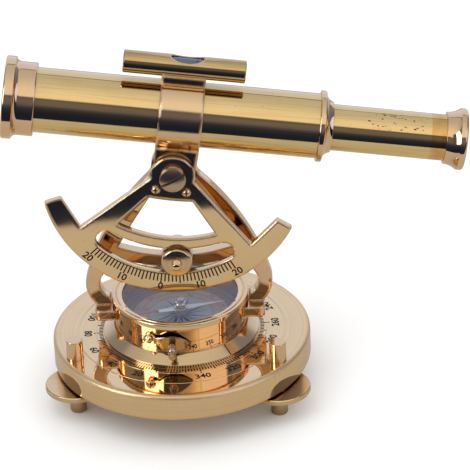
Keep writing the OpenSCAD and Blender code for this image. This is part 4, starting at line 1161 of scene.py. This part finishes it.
    def bands(self, tree, value, stops):
        """Light that changes with a value from 0 to 1, with an alpha of 1 where a stop gives none."""
        made = add_node(tree, "ShaderNodeValToRGB", {0: value})
        elements = made.color_ramp.elements
        while len(elements) < len(stops):
            elements.new(0.5)
        for element, (place, light) in zip(elements, stops):
            element.position = place
            element.color = (*light, 1)[:4]
        return made

    def by_angle(self, tree, across, along, stops):
        """Light that changes with the angle whose tangent is across over along, from -180 to 180 degrees."""
        angle = add_node(tree, "ShaderNodeMath", {0: across, 1: along}, operation="ARCTAN2").outputs[0]
        share = add_node(tree, "ShaderNodeMapRange", {
            "Value": angle, "From Min": -math.pi, "From Max": math.pi}).outputs[0]
        return self.bands(tree, share, [((degrees + 180) / 360, light) for degrees, light in stops])

    def lamps(self, stage):
        """A key lamp, and a weaker one that fills the shadows. Neither is mirrored in the metal."""
        target = Vector((20 * MM, 0, 50 * MM))
        for name, place, size, power in (
                ("key", (-0.25, -0.40, 0.85), 0.7, stage.key_power),
                ("fill", (0.5, 0.2, 0.8), 0.8, stage.key_power * 0.4)):
            data = bpy.data.lights.new(name, "AREA")
            data.size = size
            data.energy = power
            holder = add_object(name, data)
            holder.location = place
            holder.rotation_euler = (target - Vector(place)).to_track_quat("-Z", "Y").to_euler()
            holder.visible_glossy = False


OPERATORS = (
    ALIDADE_OT_metal, ALIDADE_OT_glass, ALIDADE_OT_base_scale, ALIDADE_OT_index_line, ALIDADE_OT_arc_scale,
    ALIDADE_OT_dial, ALIDADE_OT_needle, ALIDADE_OT_clamp, ALIDADE_OT_pivot, ALIDADE_OT_lock,
    ALIDADE_OT_level, ALIDADE_OT_wheels, ALIDADE_OT_stage)


class ALIDADE_PT_panel(bpy.types.Panel):
    """Lists the alidade's settings and pieces"""

    bl_idname = "ALIDADE_PT_panel"
    bl_label = "Alidade"
    bl_space_type = "VIEW_3D"
    bl_region_type = "UI"
    bl_category = "Alidade"

    def draw(self, context):
        for name, group in GROUPS.items():
            box = self.layout.box()
            box.label(text=name.capitalize())
            for prop in group.__annotations__:
                box.prop(settings(name), prop)
        for operator in OPERATORS:
            self.layout.operator(operator.bl_idname)


def register():
    for name, group in GROUPS.items():
        bpy.utils.register_class(group)
        setattr(bpy.types.Scene, "alidade_" + name, bpy.props.PointerProperty(type=group))
    for part in OPERATORS + (ALIDADE_PT_panel,):
        bpy.utils.register_class(part)


def unregister():
    for part in reversed(OPERATORS + (ALIDADE_PT_panel,)):
        bpy.utils.unregister_class(part)
    for name, group in GROUPS.items():
        delattr(bpy.types.Scene, "alidade_" + name)
        bpy.utils.unregister_class(group)


def main():
    register()
    for operator in OPERATORS:
        getattr(bpy.ops.alidade, operator.bl_idname.split(".")[1])()


if __name__ == "__main__":
    main()
